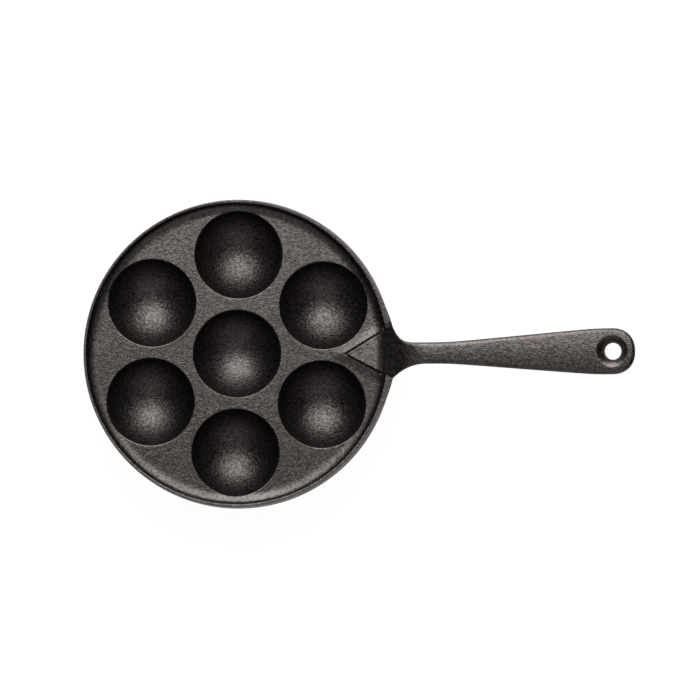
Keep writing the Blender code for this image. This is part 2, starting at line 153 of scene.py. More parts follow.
class PanSizes(bpy.types.PropertyGroup):
    """Sizes of the pan's casting."""

    cup_radius: length("Cup radius", 0.0285, "Radius of a cup at its mouth")
    cup_depth: length("Cup depth", 0.028, "Depth of a cup below the plate")
    cup_pitch: length("Cup pitch", 0.0647, "From the centre cup to each outer cup")
    cup_wall: length("Cup wall", 0.004, "Iron between a cup and its domed outside")
    cup_lip: length("Cup lip", 0.0007, "Radius of the rounded edge of a cup")
    pattern_turn: angle("Pattern turn", -1.35, "Turn of the cup pattern against the handle")
    ground_flat: length("Ground flat", 0.0075, "Radius of the flat under each cup")
    plate_thickness: length("Plate thickness", 0.004, "Iron between the cups")
    rim_radius: length("Rim radius", 0.100, "Outer radius of the rim's top")
    rim_width: length("Rim width", 0.0017, "Width of the rim's top")
    rim_height: length("Rim height", 0.008, "Height of the rim above the plate")
    rim_lean: angle("Rim lean", 7.0, "Slope of the rim's top towards the cups")
    rim_edge: length("Rim edge", 0.0003, "Radius of the rim's rounded edges")
    foot_radius: length("Foot radius", 0.005, "Radius where the plate starts to rise")
    foot_angle: angle("Foot angle", 15.0, "Slope where the foot meets the band")
    band_radius: length("Band radius", 0.0115, "Radius of the band between foot and cove")
    band_angle: angle("Band angle", 30.0, "Slope where the band meets the cove")
    cove_radius: length("Cove radius", 0.0043, "Radius of the cove inside the rim")
    wall_angle: angle("Wall angle", 82.0, "Slope of the rim's inner wall")
    skirt_flare: angle("Skirt flare", 3.1, "Slope of the skirt from upright")
    skirt_wall: length("Skirt wall", 0.0032, "Thickness of the skirt")
    skirt_edge: length("Skirt edge", 0.0008, "Radius of the skirt's lower edges")
    fillet: length("Underside fillet", 0.004, "Radius where domes and skirt meet the plate")
    collar_reach: length("Collar reach", 0.0040, "How far the wall stands out at the handle")
    collar_radius: length("Collar radius", 0.070, "Radius of the thicker wall's face in plan")
    collar_blend: length("Collar blend", 0.0003, "Softness where the collar meets the skirt")


class SocketSizes(bpy.types.PropertyGroup):
    """Sizes of the pocket in the pan that grips the handle's root."""

    gap: length("Seam gap", 0.00010, "Gap between the pan and the handle's root")
    floor_height: length("Floor height", 0.02712, "Height of the pocket's floor")
    boss_wall: length("Boss wall", 0.0035, "Iron round and under the pocket")
    lip_rise: length("Lip rise", 0.0010, "Rise of the plate to the crest beside the seam")
    lip_width: length("Lip width", 0.0056, "Width of that rise")
    groove_width: length("Groove width", 0.0014, "From the pocket's edge out to the crest")
    groove_angle: angle("Groove angle", 38.0, "Slope of the groove's side below the crest")
    rim_fall: length("Rim fall", 0.0016, "Fall of the rim towards the seam on the +Y side")
    rim_fall_width: length("Rim fall width", 0.0024, "Width of that fall")


class HandleSizes(bpy.types.PropertyGroup):
    """Sizes of the handle."""

    side_offset: length("Side offset", -0.0008, "Handle's centre line from the pan's centre")
    tip_x: length("Tip", 0.0723, "Tip of the root")
    tip_radius: length("Tip radius", 0.0006, "Radius of the root's tip")
    left_angle: angle("Left angle", 31.4, "Slant of the root's edge on the +Y side")
    right_angle: angle("Right angle", 28.0, "Slant of the root's edge on the -Y side")
    root_top: length("Root top", 0.0329198, "Height of the root's top")
    root_depth: length("Root depth", 0.0055, "Thickness of the root")
    root_edge: length("Root edge", 0.0004, "Width of the root's rounded edges")
    root_edge_depth: length("Root edge depth", 0.0004, "Depth of the root's rounded edges")
    root_lean: angle("Root lean", 3.0, "Slope of the root's top towards +Y")
    sweep_start: length("Sweep start", 0.0890, "Where the handle starts to rise")
    wall_x: length("Wall", 0.1030, "Where the handle's underside leaves the pan's wall")
    underside_blend: length("Underside blend", 0.010, "Length over which it comes free there")
    foot_radius: length("Foot radius", 0.011, "Bend at the foot of the sweep")
    sweep_angle: angle("Sweep angle", 37.0, "Slope of the sweep")
    sweep_length: length("Sweep length", 0.0143, "Straight part of the sweep")
    head_radius: length("Head radius", 0.035, "Bend at the head of the sweep")
    level_angle: angle("Level angle", 1.5, "Slope of the grip's first part")
    level_length: length("Level length", 0.0382, "Length of the grip's first part")
    rise_radius: length("Rise radius", 0.200, "Bend between the grip's two parts")
    rise_angle: angle("Rise angle", 9.0, "Slope of the grip's last part")
    thickness: length("Thickness", 0.0085, "Thickness of the grip")
    edge: length("Edge", 0.0028, "Radius of the grip's edges")
    crown_radius: length("Crown radius", 0.165, "Radius of the grip's slightly rounded top")
    neck_half_width: length("Neck half width", 0.0069, "Half width at the neck")
    neck_x: length("Neck place", 0.124, "Where the neck is narrowest")
    left_flare: number("Left flare", 5.2, "How late the neck flares on the +Y side")
    right_flare: number("Right flare", 2.25, "How late the neck flares on the -Y side")
    taper: angle("Taper", 4.97, "Slant of the grip's sides")
    blend: length("Blend", 0.0003, "Softness between neck, taper and end")
    end_radius: length("End radius", 0.01505, "Radius of the handle's round end")
    end_x: length("End centre", 0.2437, "Middle of the round end and of the hole")
    end_bluntness: number("End bluntness", 2.25, "2 for a round end, more for a squarer one")
    parallel_length: length("Parallel length", 0.011, "Where the sides run level before the end")
    hole_radius: length("Hole radius", 0.00545, "Radius of the hanging hole")
    throat_radius: length("Throat radius", 0.001, "Bend between the hole and its funnel")
    throat_angle: angle("Throat angle", 66.0, "Slope of the funnel at the hole")
    funnel_radius: length("Funnel radius", 0.0105, "Radius of the funnel's hollow bend")
    funnel_angle: angle("Funnel angle", 32.0, "Slope of the funnel at its lip")
    funnel_lip: length("Funnel lip", 0.0024, "Rounding of the funnel's upper edge")
    back_round: length("Back round", 0.0008, "Rounding of the hole underneath")


class IronFinish(bpy.types.PropertyGroup):
    """Finish of the seasoned iron."""

    pan_colour: colour("Pan colour", (0.090, 0.081, 0.078), "Reflection colour of the pan")
    handle_colour: colour(
        "Handle colour", (0.094, 0.083, 0.079), "Reflection colour of the handle",
    )
    roughness: number("Roughness", 0.395, "Roughness of the seasoning", min=0.0, max=1.0)
    pan_grain: length("Pan grain", 0.0007, "Size of the pan's cast grain")
    coarse_below: length("Coarse below", 0.0300, "Height below which the pan's skin is coarser")
    coarseness: number("Coarseness", 1.40, "How much coarser the skin is there", min=0.0)
    handle_grain: length("Handle grain", 0.0010, "Size of the handle's cast grain")


class StudioSettings(bpy.types.PropertyGroup):
    """Camera and lamps. A lamp's level is the brightness that it alone would give a white card."""

    rim_height: length("Rim height", 0.0391, "Height of the plane that the camera aims at")
    camera_height: length("Camera height", 3.05, "Camera's height above the floor")
    camera_x: length("Camera x", 0.0900, "Camera's place along the handle")
    camera_y: length("Camera y", -0.0310, "Camera's place across the handle")
    key_tilt: angle("Key tilt", 46.5, "Key lamp's angle from straight above, towards +Y")
    key_side: angle("Key side", 4.0, "Key lamp's angle towards -X")
    key_width: length("Key width", 1.06, "Width of the key lamp")
    key_height: length("Key height", 1.42, "Height of the key lamp")
    key_level: number("Key level", 2.22, "Brightness of the key lamp", min=0.0)
    fill_tilt: angle("Fill tilt", -45.5, "Fill lamp's angle from straight above, towards +Y")
    fill_width: length("Fill width", 1.20, "Width of the fill lamp")
    fill_height: length("Fill height", 1.02, "Height of the fill lamp")
    fill_level: number("Fill level", 0.20, "Brightness of the fill lamp", min=0.0)
    lamp_distance: length("Lamp distance", 0.9, "From the pan to each lamp")


def polar(radius, turn):
    """Points radius (cos turn, sin turn)."""
    return np.stack([radius * np.cos(turn), radius * np.sin(turn)], -1)


def arc(centre, radius, start, end, count):
    """Points centre + radius (cos a, sin a), with a evenly spaced from start to end."""
    return np.asarray(centre) + polar(radius, np.linspace(start, end, count))


def bend(radius, before, after):
    """Run and rise along an arc on which the slope turns from one angle to another."""
    return radius * (np.sin(after) - np.sin(before)), radius * (np.cos(before) - np.cos(after))


def between(start, end, count):
    """count points start + (end - start) i / count, with the end left out."""
    share = np.arange(count) / count
    return np.asarray(start) + share[:, None] * (np.asarray(end) - np.asarray(start))


def with_height(plan, height):
    """Points in plan with their heights as a third coordinate."""
    return np.concatenate([plan, height[..., None]], -1)


def smooth(value):
    """Cubic step v v (3 - 2 v), with v held between 0 and 1."""
    value = np.clip(value, 0.0, 1.0)
    return value * value * (3 - 2 * value)


def soft_max(first, second, softness):
    """Half the sum, plus the root of half the difference squared and the softness squared."""
    return (first + second) / 2 + np.hypot((first - second) / 2, softness)


def collar_centre(pan):
    """Distance from the pan's axis to the axis of the collar's round face.

    Rim radius plus the collar's reach, less the radius of its face.
    """
    return pan.rim_radius + pan.collar_reach - pan.collar_radius


def add_object(name, data):
    """A new object in the scene that shows the data."""
    piece = bpy.data.objects.new(name, data)
    bpy.context.scene.collection.objects.link(piece)
    return piece


class Surface:
    """Patches of quads that are joined into one closed mesh."""

    def __init__(self):
        self.points = []
        self.quads = []
        self.count = 0

    def add(self, patch, closed=False):
        """Add a grid of points, rows by columns by xyz.

        A closed grid joins its last column to its first.
        """
        rows, columns = patch.shape[:2]
        index = self.count + np.arange(rows * columns).reshape(rows, columns)
        following = np.roll(index, -1, axis=1)
        if not closed:
            index, following = index[:, :-1], following[:, :-1]
        quads = np.stack([index[:-1], following[:-1], following[1:], index[1:]], -1)
        self.points.append(patch.reshape(-1, 3))
        self.quads.append(quads.reshape(-1, 4))
        self.count += rows * columns

    def build(self, name, sharp_angle):
        """One mesh object: patches merged at their shared borders, faces pointing out."""
        points = np.concatenate(self.points)
        quads = np.concatenate(self.quads)
        mesh = bpy.data.meshes.new(name)
        mesh.vertices.add(len(points))
        mesh.vertices.foreach_set("co", points.astype(np.float32).ravel())
        mesh.loops.add(quads.size)
        mesh.loops.foreach_set("vertex_index", quads.astype(np.int32).ravel())
        mesh.polygons.add(len(quads))
        mesh.polygons.foreach_set("loop_start", np.arange(0, quads.size, 4, dtype=np.int32))
        mesh.update(calc_edges=True)
        work = bmesh.new()
        work.from_mesh(mesh)
        bmesh.ops.remove_doubles(work, verts=work.verts, dist=MERGE_DISTANCE)
        bmesh.ops.dissolve_degenerate(work, edges=work.edges, dist=MERGE_DISTANCE)
        bmesh.ops.recalc_face_normals(work, faces=work.faces)
        work.to_mesh(mesh)
        work.free()
        mesh.shade_smooth()
        mesh.set_sharp_from_angle(angle=sharp_angle)
        return add_object(name, mesh)


class Casting:
    """The pan's surfaces as heights over the plan, from its sizes.

    Towards the handle it has a pocket, whose two straight edges meet in a sharp tip.
    """

    # Mesh steps along the borders between cups, along the pocket and round the rim, then how far
    # the rim's columns are drawn to the seam and the passes that find where its rows meet it.
    SIDE_STEPS = 34
    INNER_STEPS = 22
    BEFORE_TIP_STEPS = 20
    SEAM_STEPS = 20
    SECTOR_STEPS = 60
    NOTCH_STEPS = 16
    COLUMN_POWER = 1.3
    ROW_PASSES = 8

    # Mesh rings from a cup's centre to its border, above and below.
    BOWL_RINGS = 20
    BOWL_TURN = radians(85)
    LIP_RINGS = 5
    PLATE_RINGS = 9
    DOME_RINGS = 17
    FLAT_SHARES = (0.0, 0.5, 0.9, 1.0, 1.1)
    WEB_RINGS = 8
    WEB_POWER = 1.4

    # Points of the rim's section, and how many edge radii its straight skirt stays off both ends.
    COVE_POINTS = 9
    INNER_EDGE_POINTS = 5
    OUTER_EDGE_POINTS = 6
    UPPER_SKIRT_POINTS = 5
    LOWER_SKIRT_POINTS = 8
    FOOT_POINTS = 5
    INSIDE_POINTS = 7
    OFF_RIM = 3
    OFF_FOOT = 4

    # The plate's patches end in the cove, at this share of its radius.
    BOUNDARY_SHARE = 0.60

    # Mesh lines beside the seam, as shares of the groove's width, and the pocket walls' foot.
    CREST_SHARES = (1.15, 1.0, 0.9, 0.45, 0.0)
    WALL_STEP = 0.00003

    # Limits, powers and soft edges of the surfaces, and the angle from which edges look sharp.
    LEAST_COSINE = 0.5
    STEEPEST_SINE = 0.99
    LIP_POWER = 1.5
    FLAT_SOFTNESS = 0.00005
    BOSS_EDGE = 0.0026
    BOSS_OUTSIDE = 0.0006
    SHARP_ANGLE = radians(38)

    def __init__(self, pan, socket, handle):
        self.pan = pan
        self.socket = socket
        self.bowl_radius = (pan.cup_radius ** 2 + pan.cup_depth ** 2) / (2 * pan.cup_depth)
        self.dome_radius = self.bowl_radius + pan.cup_wall
        self.sphere_z = sqrt(self.dome_radius ** 2 - pan.ground_flat ** 2)
        self.plate_top = self.sphere_z - self.bowl_radius + pan.cup_depth
        self.plate_under = self.plate_top - pan.plate_thickness
        self.rim_top = self.plate_top + pan.rim_height
        self.rim_inner = pan.rim_radius - pan.rim_width
        self.rim_drop = (pan.rim_width - 2 * pan.rim_edge) * tan(pan.rim_lean)
        self.fillet_z = self.plate_under - pan.fillet
        self.skirt_radius = self.skirt_outer(self.fillet_z) - pan.skirt_wall
        self.set_cove()
        self.set_dome_fillet()
        self.outer_radius = self.cove_centre[0] + self.BOUNDARY_SHARE * pan.cove_radius
        self.collar_x = collar_centre(pan)
        self.set_pocket(handle)

    def skirt_outer(self, height):
        """Radius of the skirt's outer face: the rim's, plus the fall below it times the flare."""
        return self.pan.rim_radius + (self.rim_top - height) * tan(self.pan.skirt_flare)

    def set_cove(self):
        """Places foot, band and cove so that the inner wall ends at the rim's top.

        Each is an arc as (start x, start height, start slope, radius), from the plate outward.
        """
        pan = self.pan
        parts = (
            (pan.foot_radius, 0.0, pan.foot_angle),
            (pan.band_radius, pan.foot_angle, pan.band_angle),
            (pan.cove_radius, pan.band_angle, pan.wall_angle),
        )
        moves = np.array([bend(*part) for part in parts])
        all_run, all_rise = moves.sum(0)
        wall_rise = pan.rim_height - pan.rim_edge - self.rim_drop - all_rise
        x = self.rim_inner - wall_rise / tan(pan.wall_angle) - all_run
        z = self.plate_top
        self.cove_arcs = []
        for (radius, slope, _), (run, rise) in zip(parts, moves):
            self.cove_arcs.append((x, z, slope, radius))
            self.cove_centre = (x - radius * sin(slope), z + radius * cos(slope))
            x, z = x + run, z + rise
        self.cove_start = self.cove_arcs[-1][0]

    def set_pocket(self, handle):
        """The pocket's tip and the directions of its edges, a gap outside the handle's root."""
        self.left = polar(1.0, handle.left_angle)
        self.right = polar(1.0, -handle.right_angle)
        centre = np.array([handle.tip_x + handle.tip_radius, handle.side_offset])
        offset = handle.tip_radius + self.socket.gap
        left_point = centre + offset * np.array([-self.left[1], self.left[0]])
        right_point = centre + offset * np.array([self.right[1], -self.right[0]])
        sides = np.stack([self.left, -self.right], -1)
        along = np.linalg.solve(sides, right_point - left_point)
        self.tip = left_point + along[0] * self.left

    def set_dome_fillet(self):
        """Places the fillet that touches both a dome and the plate's underside.

        Its middle is a fillet below the plate, and a dome's radius plus a fillet from the dome's.
        """
        reach = self.dome_radius + self.pan.fillet
        self.fillet_reach = sqrt(reach ** 2 - (self.sphere_z - self.fillet_z) ** 2)
        self.dome_edge = self.fillet_reach * self.dome_radius / reach

    def bulge(self, turn, height):
        """How far the collar's round face stands out of the skirt at an azimuth and height.

        Distance to the face along the azimuth, less the skirt's radius, softly kept above 0.
        """
        pan = self.pan
        across = self.collar_x * np.sin(turn)
        face = self.collar_x * np.cos(turn) + np.sqrt(pan.collar_radius ** 2 - across ** 2)
        skirt = self.skirt_outer(np.minimum(height, self.rim_top - pan.rim_edge))
        far_softness = pan.collar_blend ** 2 / pan.collar_reach
        return soft_max(face - skirt, 0.0, pan.collar_blend) - far_softness

    def sector_point(self, index, radius):
        """Point at a radius, at a number of sectors: whole between cups, and a half on a cup."""
        return polar(radius, self.pan.pattern_turn + SECTOR * index)

    def cup_centre(self, index):
        """Middle of one of the outer cups."""
        return self.sector_point(index + 0.5, self.pan.cup_pitch)

    def off_edge(self, x, y, direction):
        """Signed distance to the left of one of the pocket's edges, seen from its tip."""
        return (y - self.tip[1]) * direction[0] - (x - self.tip[0]) * direction[1]

    def seam_distance(self, x, y):
        """Distance outside the pocket's two straight edges, rounded in front of its tip."""
        from_left = np.maximum(self.off_edge(x, y, self.left), 0)
        from_right = np.maximum(-self.off_edge(x, y, self.right), 0)
        return np.hypot(from_left, from_right)

    def seam_rise(self, x, y):
        """Rise of the iron to a crest beside the seam, then a fall into a groove at the seam.

        The rise grows with a power of the way to the crest. The groove's side is straight, and
        fades out between the cove's start and the end of the plate's patches.
        """
        socket = self.socket
        away = self.seam_distance(x, y)
        ramp = np.clip(1 - (away - socket.groove_width) / socket.lip_width, 0.0, 1.0)
        inside = np.maximum(socket.groove_width - away, 0.0)
        in_cove = (np.hypot(x, y) - self.cove_start) / (self.outer_radius - self.cove_start)
        depth = (1 - smooth(in_cove)) * inside * tan(socket.groove_angle)
        return socket.lip_rise * ramp ** self.LIP_POWER - depth

    def rim_fall(self, x, y):
        """Fall of the rim towards the seam on the +Y side, even over its width."""
        socket = self.socket
        away = np.abs(self.off_edge(x, y, self.left))
        fall = socket.rim_fall * np.clip(1 - away / socket.rim_fall_width, 0.0, 1.0)
        return np.where(x > self.tip[0], -fall, 0.0)

    def plate_height(self, x, y):
        """Plate, foot, band and cove by distance from the axis, and the rise at the seam.

        On an arc, the slope's sine grows evenly with the distance, and the height by its cosine.
        """
        radius = np.hypot(x, y)
        height = np.full(radius.shape, self.plate_top)
        for start, low, slope, arc_radius in self.cove_arcs:
            sine = (radius - start) / arc_radius + sin(slope)
            sine = np.clip(sine, -1.0, self.STEEPEST_SINE)
            here = low + arc_radius * (cos(slope) - np.sqrt(1 - sine ** 2))
            height = np.where(radius > start, here, height)
        return height + self.seam_rise(x, y)

    def dome_depth(self, away):
        """Depth of one dome below the plate: flat, sphere, fillet, then nothing."""
        pan = self.pan
        inside = np.minimum(away, self.dome_edge)
        sphere = self.sphere_z - np.sqrt(self.dome_radius ** 2 - inside ** 2)
        grounded = soft_max(sphere, 0.0, self.FLAT_SOFTNESS)
        short = np.clip(self.fillet_reach - away, 0.0, pan.fillet)
        fillet = self.fillet_z + np.sqrt(pan.fillet ** 2 - short ** 2)
        return self.plate_under - np.where(away < self.dome_edge, grounded, fillet)

    def skirt_depth(self, radius):
        """Depth of the skirt's inner fillet below the plate: a quarter circle."""
        fillet = self.pan.fillet
        across = np.clip(radius - (self.skirt_radius - fillet), 0.0, fillet)
        return fillet - np.sqrt(fillet ** 2 - across ** 2)

    def boss_depth(self, x, y):
        """Depth of the boss round the pocket: flat, with a cubic step at its edge."""
        socket = self.socket
        inside = socket.boss_wall - self.seam_distance(x, y)
        depth = self.plate_under - (socket.floor_height - socket.boss_wall)
        return depth * smooth((inside + self.BOSS_OUTSIDE) / self.BOSS_EDGE)

    def underside_height(self, x, y):
        """Plate less the cube root of the summed cubes of all depths, so that forms blend."""
        total = self.skirt_depth(np.hypot(x, y)) ** 3 + self.boss_depth(x, y) ** 3
        for centre in [ORIGIN] + [self.cup_centre(index) for index in range(OUTER_CUPS)]:
            total = total + self.dome_depth(np.hypot(x - centre[0], y - centre[1])) ** 3
        return self.plate_under - np.cbrt(total)

    def edge_azimuth(self, direction, radius):
        """Azimuth at which one of the pocket's edges crosses a circle about the pan's axis."""
        along = self.tip @ direction
        travel = -along + np.sqrt(along ** 2 - self.tip @ self.tip + radius ** 2)
        return np.arctan2(
            self.tip[1] + travel * direction[1], self.tip[0] + travel * direction[0],
        )

    def row_edges(self, profile, outside):
        """Azimuths at which each row of the rim meets the pocket's two edges.

        The collar moves a row outward by its azimuth, so radius and azimuth are found in turns.
        """
        ends = []
        for direction in (self.left, self.right):
            radius = profile[:, :1]
            for _ in range(self.ROW_PASSES):
                turn = self.edge_azimuth(direction, radius)
                radius = profile[:, :1] + outside * self.bulge(turn, profile[:, 1:])
            ends.append(turn)
        return ends

    def crest_turn(self, azimuth, radius, direction):
        """Angle about the pan's axis from the pocket's edge to its crest.

        The groove's width, over the radius times the cosine between the radius and the edge.
        """
        slant = np.cos(azimuth - atan2(direction[1], direction[0]))
        return self.socket.groove_width / (radius * slant)

    def column_azimuths(self, left, right, radius):
        """Azimuths of the rim's columns: even, but drawn to the pocket's edges and crests.

        In the two sectors beside the pocket, the way from the crest is a power of an even share.
        """
        turn = self.pan.pattern_turn
        crests = np.array(self.CREST_SHARES[::-1])
        from_left = self.crest_turn(left, radius, self.left) * crests
        from_right = self.crest_turn(right, radius, self.right) * crests[::-1]
        right = right + 2 * pi
        step = self.WALL_STEP / radius
        steps = self.SECTOR_STEPS - self.NOTCH_STEPS // 2 - len(crests)
        share = (np.arange(1, steps + 1) / (steps + 1)) ** self.COLUMN_POWER
        first_start = left + from_left[:, -1:]
        first = first_start + share * (turn + SECTOR - first_start)
        last_end = right - from_right[:, :1]
        last_start = turn + (OUTER_CUPS - 1) * SECTOR
        last = last_end - np.append(1.0, share[::-1]) * (last_end - last_start)
        middle_count = (OUTER_CUPS - 2) * self.SECTOR_STEPS
        middle = turn + SECTOR * (1 + np.arange(middle_count) / self.SECTOR_STEPS)
        middle = np.repeat(middle[None], len(left), 0)
        floor_count = self.NOTCH_STEPS - 2
        across = np.arange(floor_count + 1) / floor_count
        floor = (right + step) + across * (left + 2 * pi - right - 2 * step)
        return np.concatenate(
            [left + from_left, first, middle, last, right - from_right, floor], 1,
        )

    def even_azimuths(self):
        """The same number of columns at even angles, for the skirt's foot and the underside."""
        columns = self.NOTCH_STEPS / 2 + np.arange(OUTER_CUPS * self.SECTOR_STEPS)
        return self.pan.pattern_turn + SECTOR * columns / self.SECTOR_STEPS

    def ring_points(self, centre, border, distances):
        """Points on straight lines from a cup's centre to its border, rows by distance."""
        reach = border - centre
        full = np.hypot(reach[:, 0], reach[:, 1])
        return centre + distances[..., None] * (reach / full[:, None])

    def slant(self, centre, border):
        """How much longer the groove is along a ray from a cup's centre than square to the seam.

        1 over the cosine between the two where the ray ends on a pocket's edge, else 1.
        """
        reach = border - centre
        reach = reach / np.hypot(reach[:, :1], reach[:, 1:])
        result = np.ones(len(border))
        for direction in (self.left, self.right):
            away = self.off_edge(border[:, 0], border[:, 1], direction)
            on_edge = (np.abs(away) < MERGE_DISTANCE) & ((border - self.tip) @ direction > 0)
            cosine = np.abs(reach[:, 0] * direction[1] - reach[:, 1] * direction[0])
            result = np.where(on_edge, 1 / np.maximum(cosine, self.LEAST_COSINE), result)
        return result

    def line_to_tip(self, start):
        """Points from the hexagon's corner to the pocket's tip, the tip left out."""
        along = (self.tip - start) / np.hypot(*(self.tip - start))
        crests = np.array(self.CREST_SHARES[:-1])[:, None] * self.socket.groove_width
        near = self.tip - crests * along
        return np.concatenate([between(start, near[0], self.BEFORE_TIP_STEPS), near])

    def bowl_patch(self, centre, border):
        """One cup and the plate round it: sphere, rounded lip, then plate out to the border."""
        pan = self.pan
        full = np.hypot(*(border - centre).T)
        turn = np.linspace(0.0, self.BOWL_TURN, self.BOWL_RINGS + 1)[:, None] + 0 * full
        bowl = self.bowl_radius * np.sin(turn)
        bowl_height = self.sphere_z - self.bowl_radius * np.cos(turn)
        lip_turn = np.linspace(0.0, pi / 2, self.LIP_RINGS + 1)[:, None] + 0 * full
        lip = pan.cup_radius + pan.cup_lip * (1 - np.cos(lip_turn))
        lip_drop = pan.cup_lip * (1 - np.sin(lip_turn))
        share = 0.5 - 0.5 * np.cos(pi * np.arange(1, self.PLATE_RINGS + 1) / self.PLATE_RINGS)
        start = pan.cup_radius + pan.cup_lip
        crest = self.socket.groove_width * self.slant(centre, border)
        before_border = np.array(self.CREST_SHARES)[:, None] * crest
        plate = start + share[:, None] * (full - before_border[0] - start)
        distances = np.concatenate([bowl, lip, plate, full - before_border[1:]])
        points = self.ring_points(centre, border, distances)
        height = self.plate_height(points[..., 0], points[..., 1])
        height[: len(bowl)] = bowl_height
        height[len(bowl): len(bowl) + len(lip)] -= lip_drop
        return with_height(points, height)

    def dome_patch(self, centre, border):
        """Outside of one cup and the plate's underside round it, out to the border."""
        full = np.hypot(*(border - centre).T)
        flat = self.pan.ground_flat * np.array(self.FLAT_SHARES)
        first = asin(flat[-1] / self.dome_radius)
        last = asin(self.dome_edge / self.dome_radius)
        turn = np.linspace(first, last, self.DOME_RINGS + 1)[1:]
        dome = self.dome_radius * np.sin(turn)
        start = dome[-1]
        share = (np.arange(1, self.WEB_RINGS + 1) / self.WEB_RINGS) ** self.WEB_POWER
        web = start + share[:, None] * (full - start)
        inner = np.repeat(np.concatenate([flat, dome])[:, None], len(border), 1)
        points = self.ring_points(centre, border, np.concatenate([inner, web]))
        return with_height(points, self.underside_height(points[..., 0], points[..., 1]))

    def hexagon_corner(self, index):
        """Corner of the hexagon halfway from the centre cup to its six neighbours."""
        return self.sector_point(index, self.pan.cup_pitch / sqrt(3))

    def centre_border(self):
        """All six sides of that hexagon."""
        corners = [self.hexagon_corner(index) for index in range(OUTER_CUPS + 1)]
        sides = [between(*pair, self.INNER_STEPS) for pair in zip(corners, corners[1:])]
        return np.concatenate(sides)

    def outer_border(self, index, arc_points, with_pocket):
        """Border of an outer cup: arc, ray inward, side of the hexagon, ray outward.

        Beside the pocket, the ray stops at the pocket's tip and the border follows its edge.
        """
        here = self.hexagon_corner(index)
        there = self.hexagon_corner(index + 1)
        inner = between(there, here, self.INNER_STEPS)
        outward = between(here, arc_points[0], self.SIDE_STEPS)
        inward = between(arc_points[-1], there, self.SIDE_STEPS)
        if with_pocket and index == 0:
            outward = np.concatenate([
                self.line_to_tip(here),
                between(self.tip, arc_points[0], self.SEAM_STEPS),
            ])
        if with_pocket and index == OUTER_CUPS - 1:
            inward = np.concatenate([
                between(arc_points[-1], self.tip, self.SEAM_STEPS),
                [self.tip],
                self.line_to_tip(there)[:0:-1],
            ])
        return np.concatenate([arc_points[:-1], inward, inner, outward])

    def upper_arc(self, azimuths, index):
        """A sector's columns on the plate's outer circle, both ends included."""
        half = self.NOTCH_STEPS // 2
        start = index * self.SECTOR_STEPS - half
        columns = np.arange(max(start, 0), start + self.SECTOR_STEPS + 1)
        if index == OUTER_CUPS - 1:
            columns = columns[: len(columns) - half]
        return polar(self.outer_radius, azimuths[columns])

    def lower_arc(self, index):
        """A sector's even columns on the skirt's inner circle, both ends included."""
        share = np.arange(self.SECTOR_STEPS + 1) / self.SECTOR_STEPS
        return self.sector_point(index + share, self.skirt_radius)

    def rim_profile(self):
        """Section from the cove over the rim, down the skirt and up inside.

        Gives rows of (radius, height), and 1 for each row that the collar moves outward, else 0.
        """
        pan = self.pan
        floor = self.socket.floor_height
        edge, foot, upright = pan.rim_edge, pan.skirt_edge, pi / 2
        cove_start = acos((self.outer_radius - self.cove_centre[0]) / pan.cove_radius)
        inner_centre = (self.rim_inner + edge, self.rim_top - edge - self.rim_drop)
        outer_centre = (pan.rim_radius - edge, self.rim_top - edge)
        top_turn = upright + pan.rim_lean
        below = np.concatenate([
            np.linspace(self.rim_top - self.OFF_RIM * edge, floor, self.UPPER_SKIRT_POINTS),
            np.linspace(floor, self.OFF_FOOT * foot, self.LOWER_SKIRT_POINTS)[1:],
        ])
        outer_foot = (self.skirt_outer(0) - foot, foot)
        inner_foot = (self.skirt_outer(0) - pan.skirt_wall + foot, foot)
        rising = np.linspace(self.OFF_FOOT * foot, self.fillet_z, self.INSIDE_POINTS)
        parts = (
            (arc(self.cove_centre, pan.cove_radius, -cove_start, pan.wall_angle - upright,
                 self.COVE_POINTS), 0.0),
            (arc(inner_centre, edge, pi, top_turn, self.INNER_EDGE_POINTS), 0.0),
            (arc(outer_centre, edge, top_turn, 0, self.OUTER_EDGE_POINTS), 1.0),
            (np.stack([self.skirt_outer(below), below], -1), 1.0),
            (arc(outer_foot, foot, 0, -upright, self.FOOT_POINTS), 1.0),
            (arc(inner_foot, foot, -upright, -pi, self.FOOT_POINTS), 0.0),
            (np.stack([self.skirt_outer(rising) - pan.skirt_wall, rising], -1), 0.0),
        )
        outside = np.concatenate([np.full((len(part), 1), flag) for part, flag in parts])
        return np.concatenate([part for part, _ in parts]), outside

    def rim_patch(self):
        """Rim and skirt: the section carried round the pan, notched where the handle is.

        Below the pocket's floor, the columns turn from the seam's azimuths to even ones by a
        cubic step. Heights gain the plate's rise at the seam inside the rim, and the rim's fall
        on it. In the notch, none is above the pocket's floor.
        """
        profile, outside = self.rim_profile()
        height = np.repeat(profile[:, 1:], OUTER_CUPS * self.SECTOR_STEPS, 1)
        top = self.column_azimuths(*self.row_edges(profile, outside), profile[:, :1])
        base_row = int(np.argmin(profile[:, 1]))
        floor = self.socket.floor_height
        share = smooth((floor - profile[:, 1:]) / floor)
        share[base_row:] = 1.0
        turn = top + share * (self.even_azimuths() - top)
        radius = profile[:, :1] + outside * self.bulge(turn, profile[:, 1:])
        x, y = radius * np.cos(turn), radius * np.sin(turn)
        on_rim = smooth((radius - self.outer_radius) / (self.rim_inner - self.outer_radius))
        above = smooth((profile[:, 1:] - floor) / (self.rim_top - floor))
        before_base = np.arange(len(profile))[:, None] <= base_row
        rise = (1 - on_rim) * self.seam_rise(x, y) + on_rim * above * self.rim_fall(x, y)
        height = height + before_base * rise
        in_notch = np.zeros(height.shape, bool)
        in_notch[: base_row + 1, -(self.NOTCH_STEPS - 1):] = True
        height = np.where(in_notch, np.minimum(height, floor), height)
        height[-1] = self.underside_height(x[-1], y[-1])
        return np.stack([x, y, height], -1)

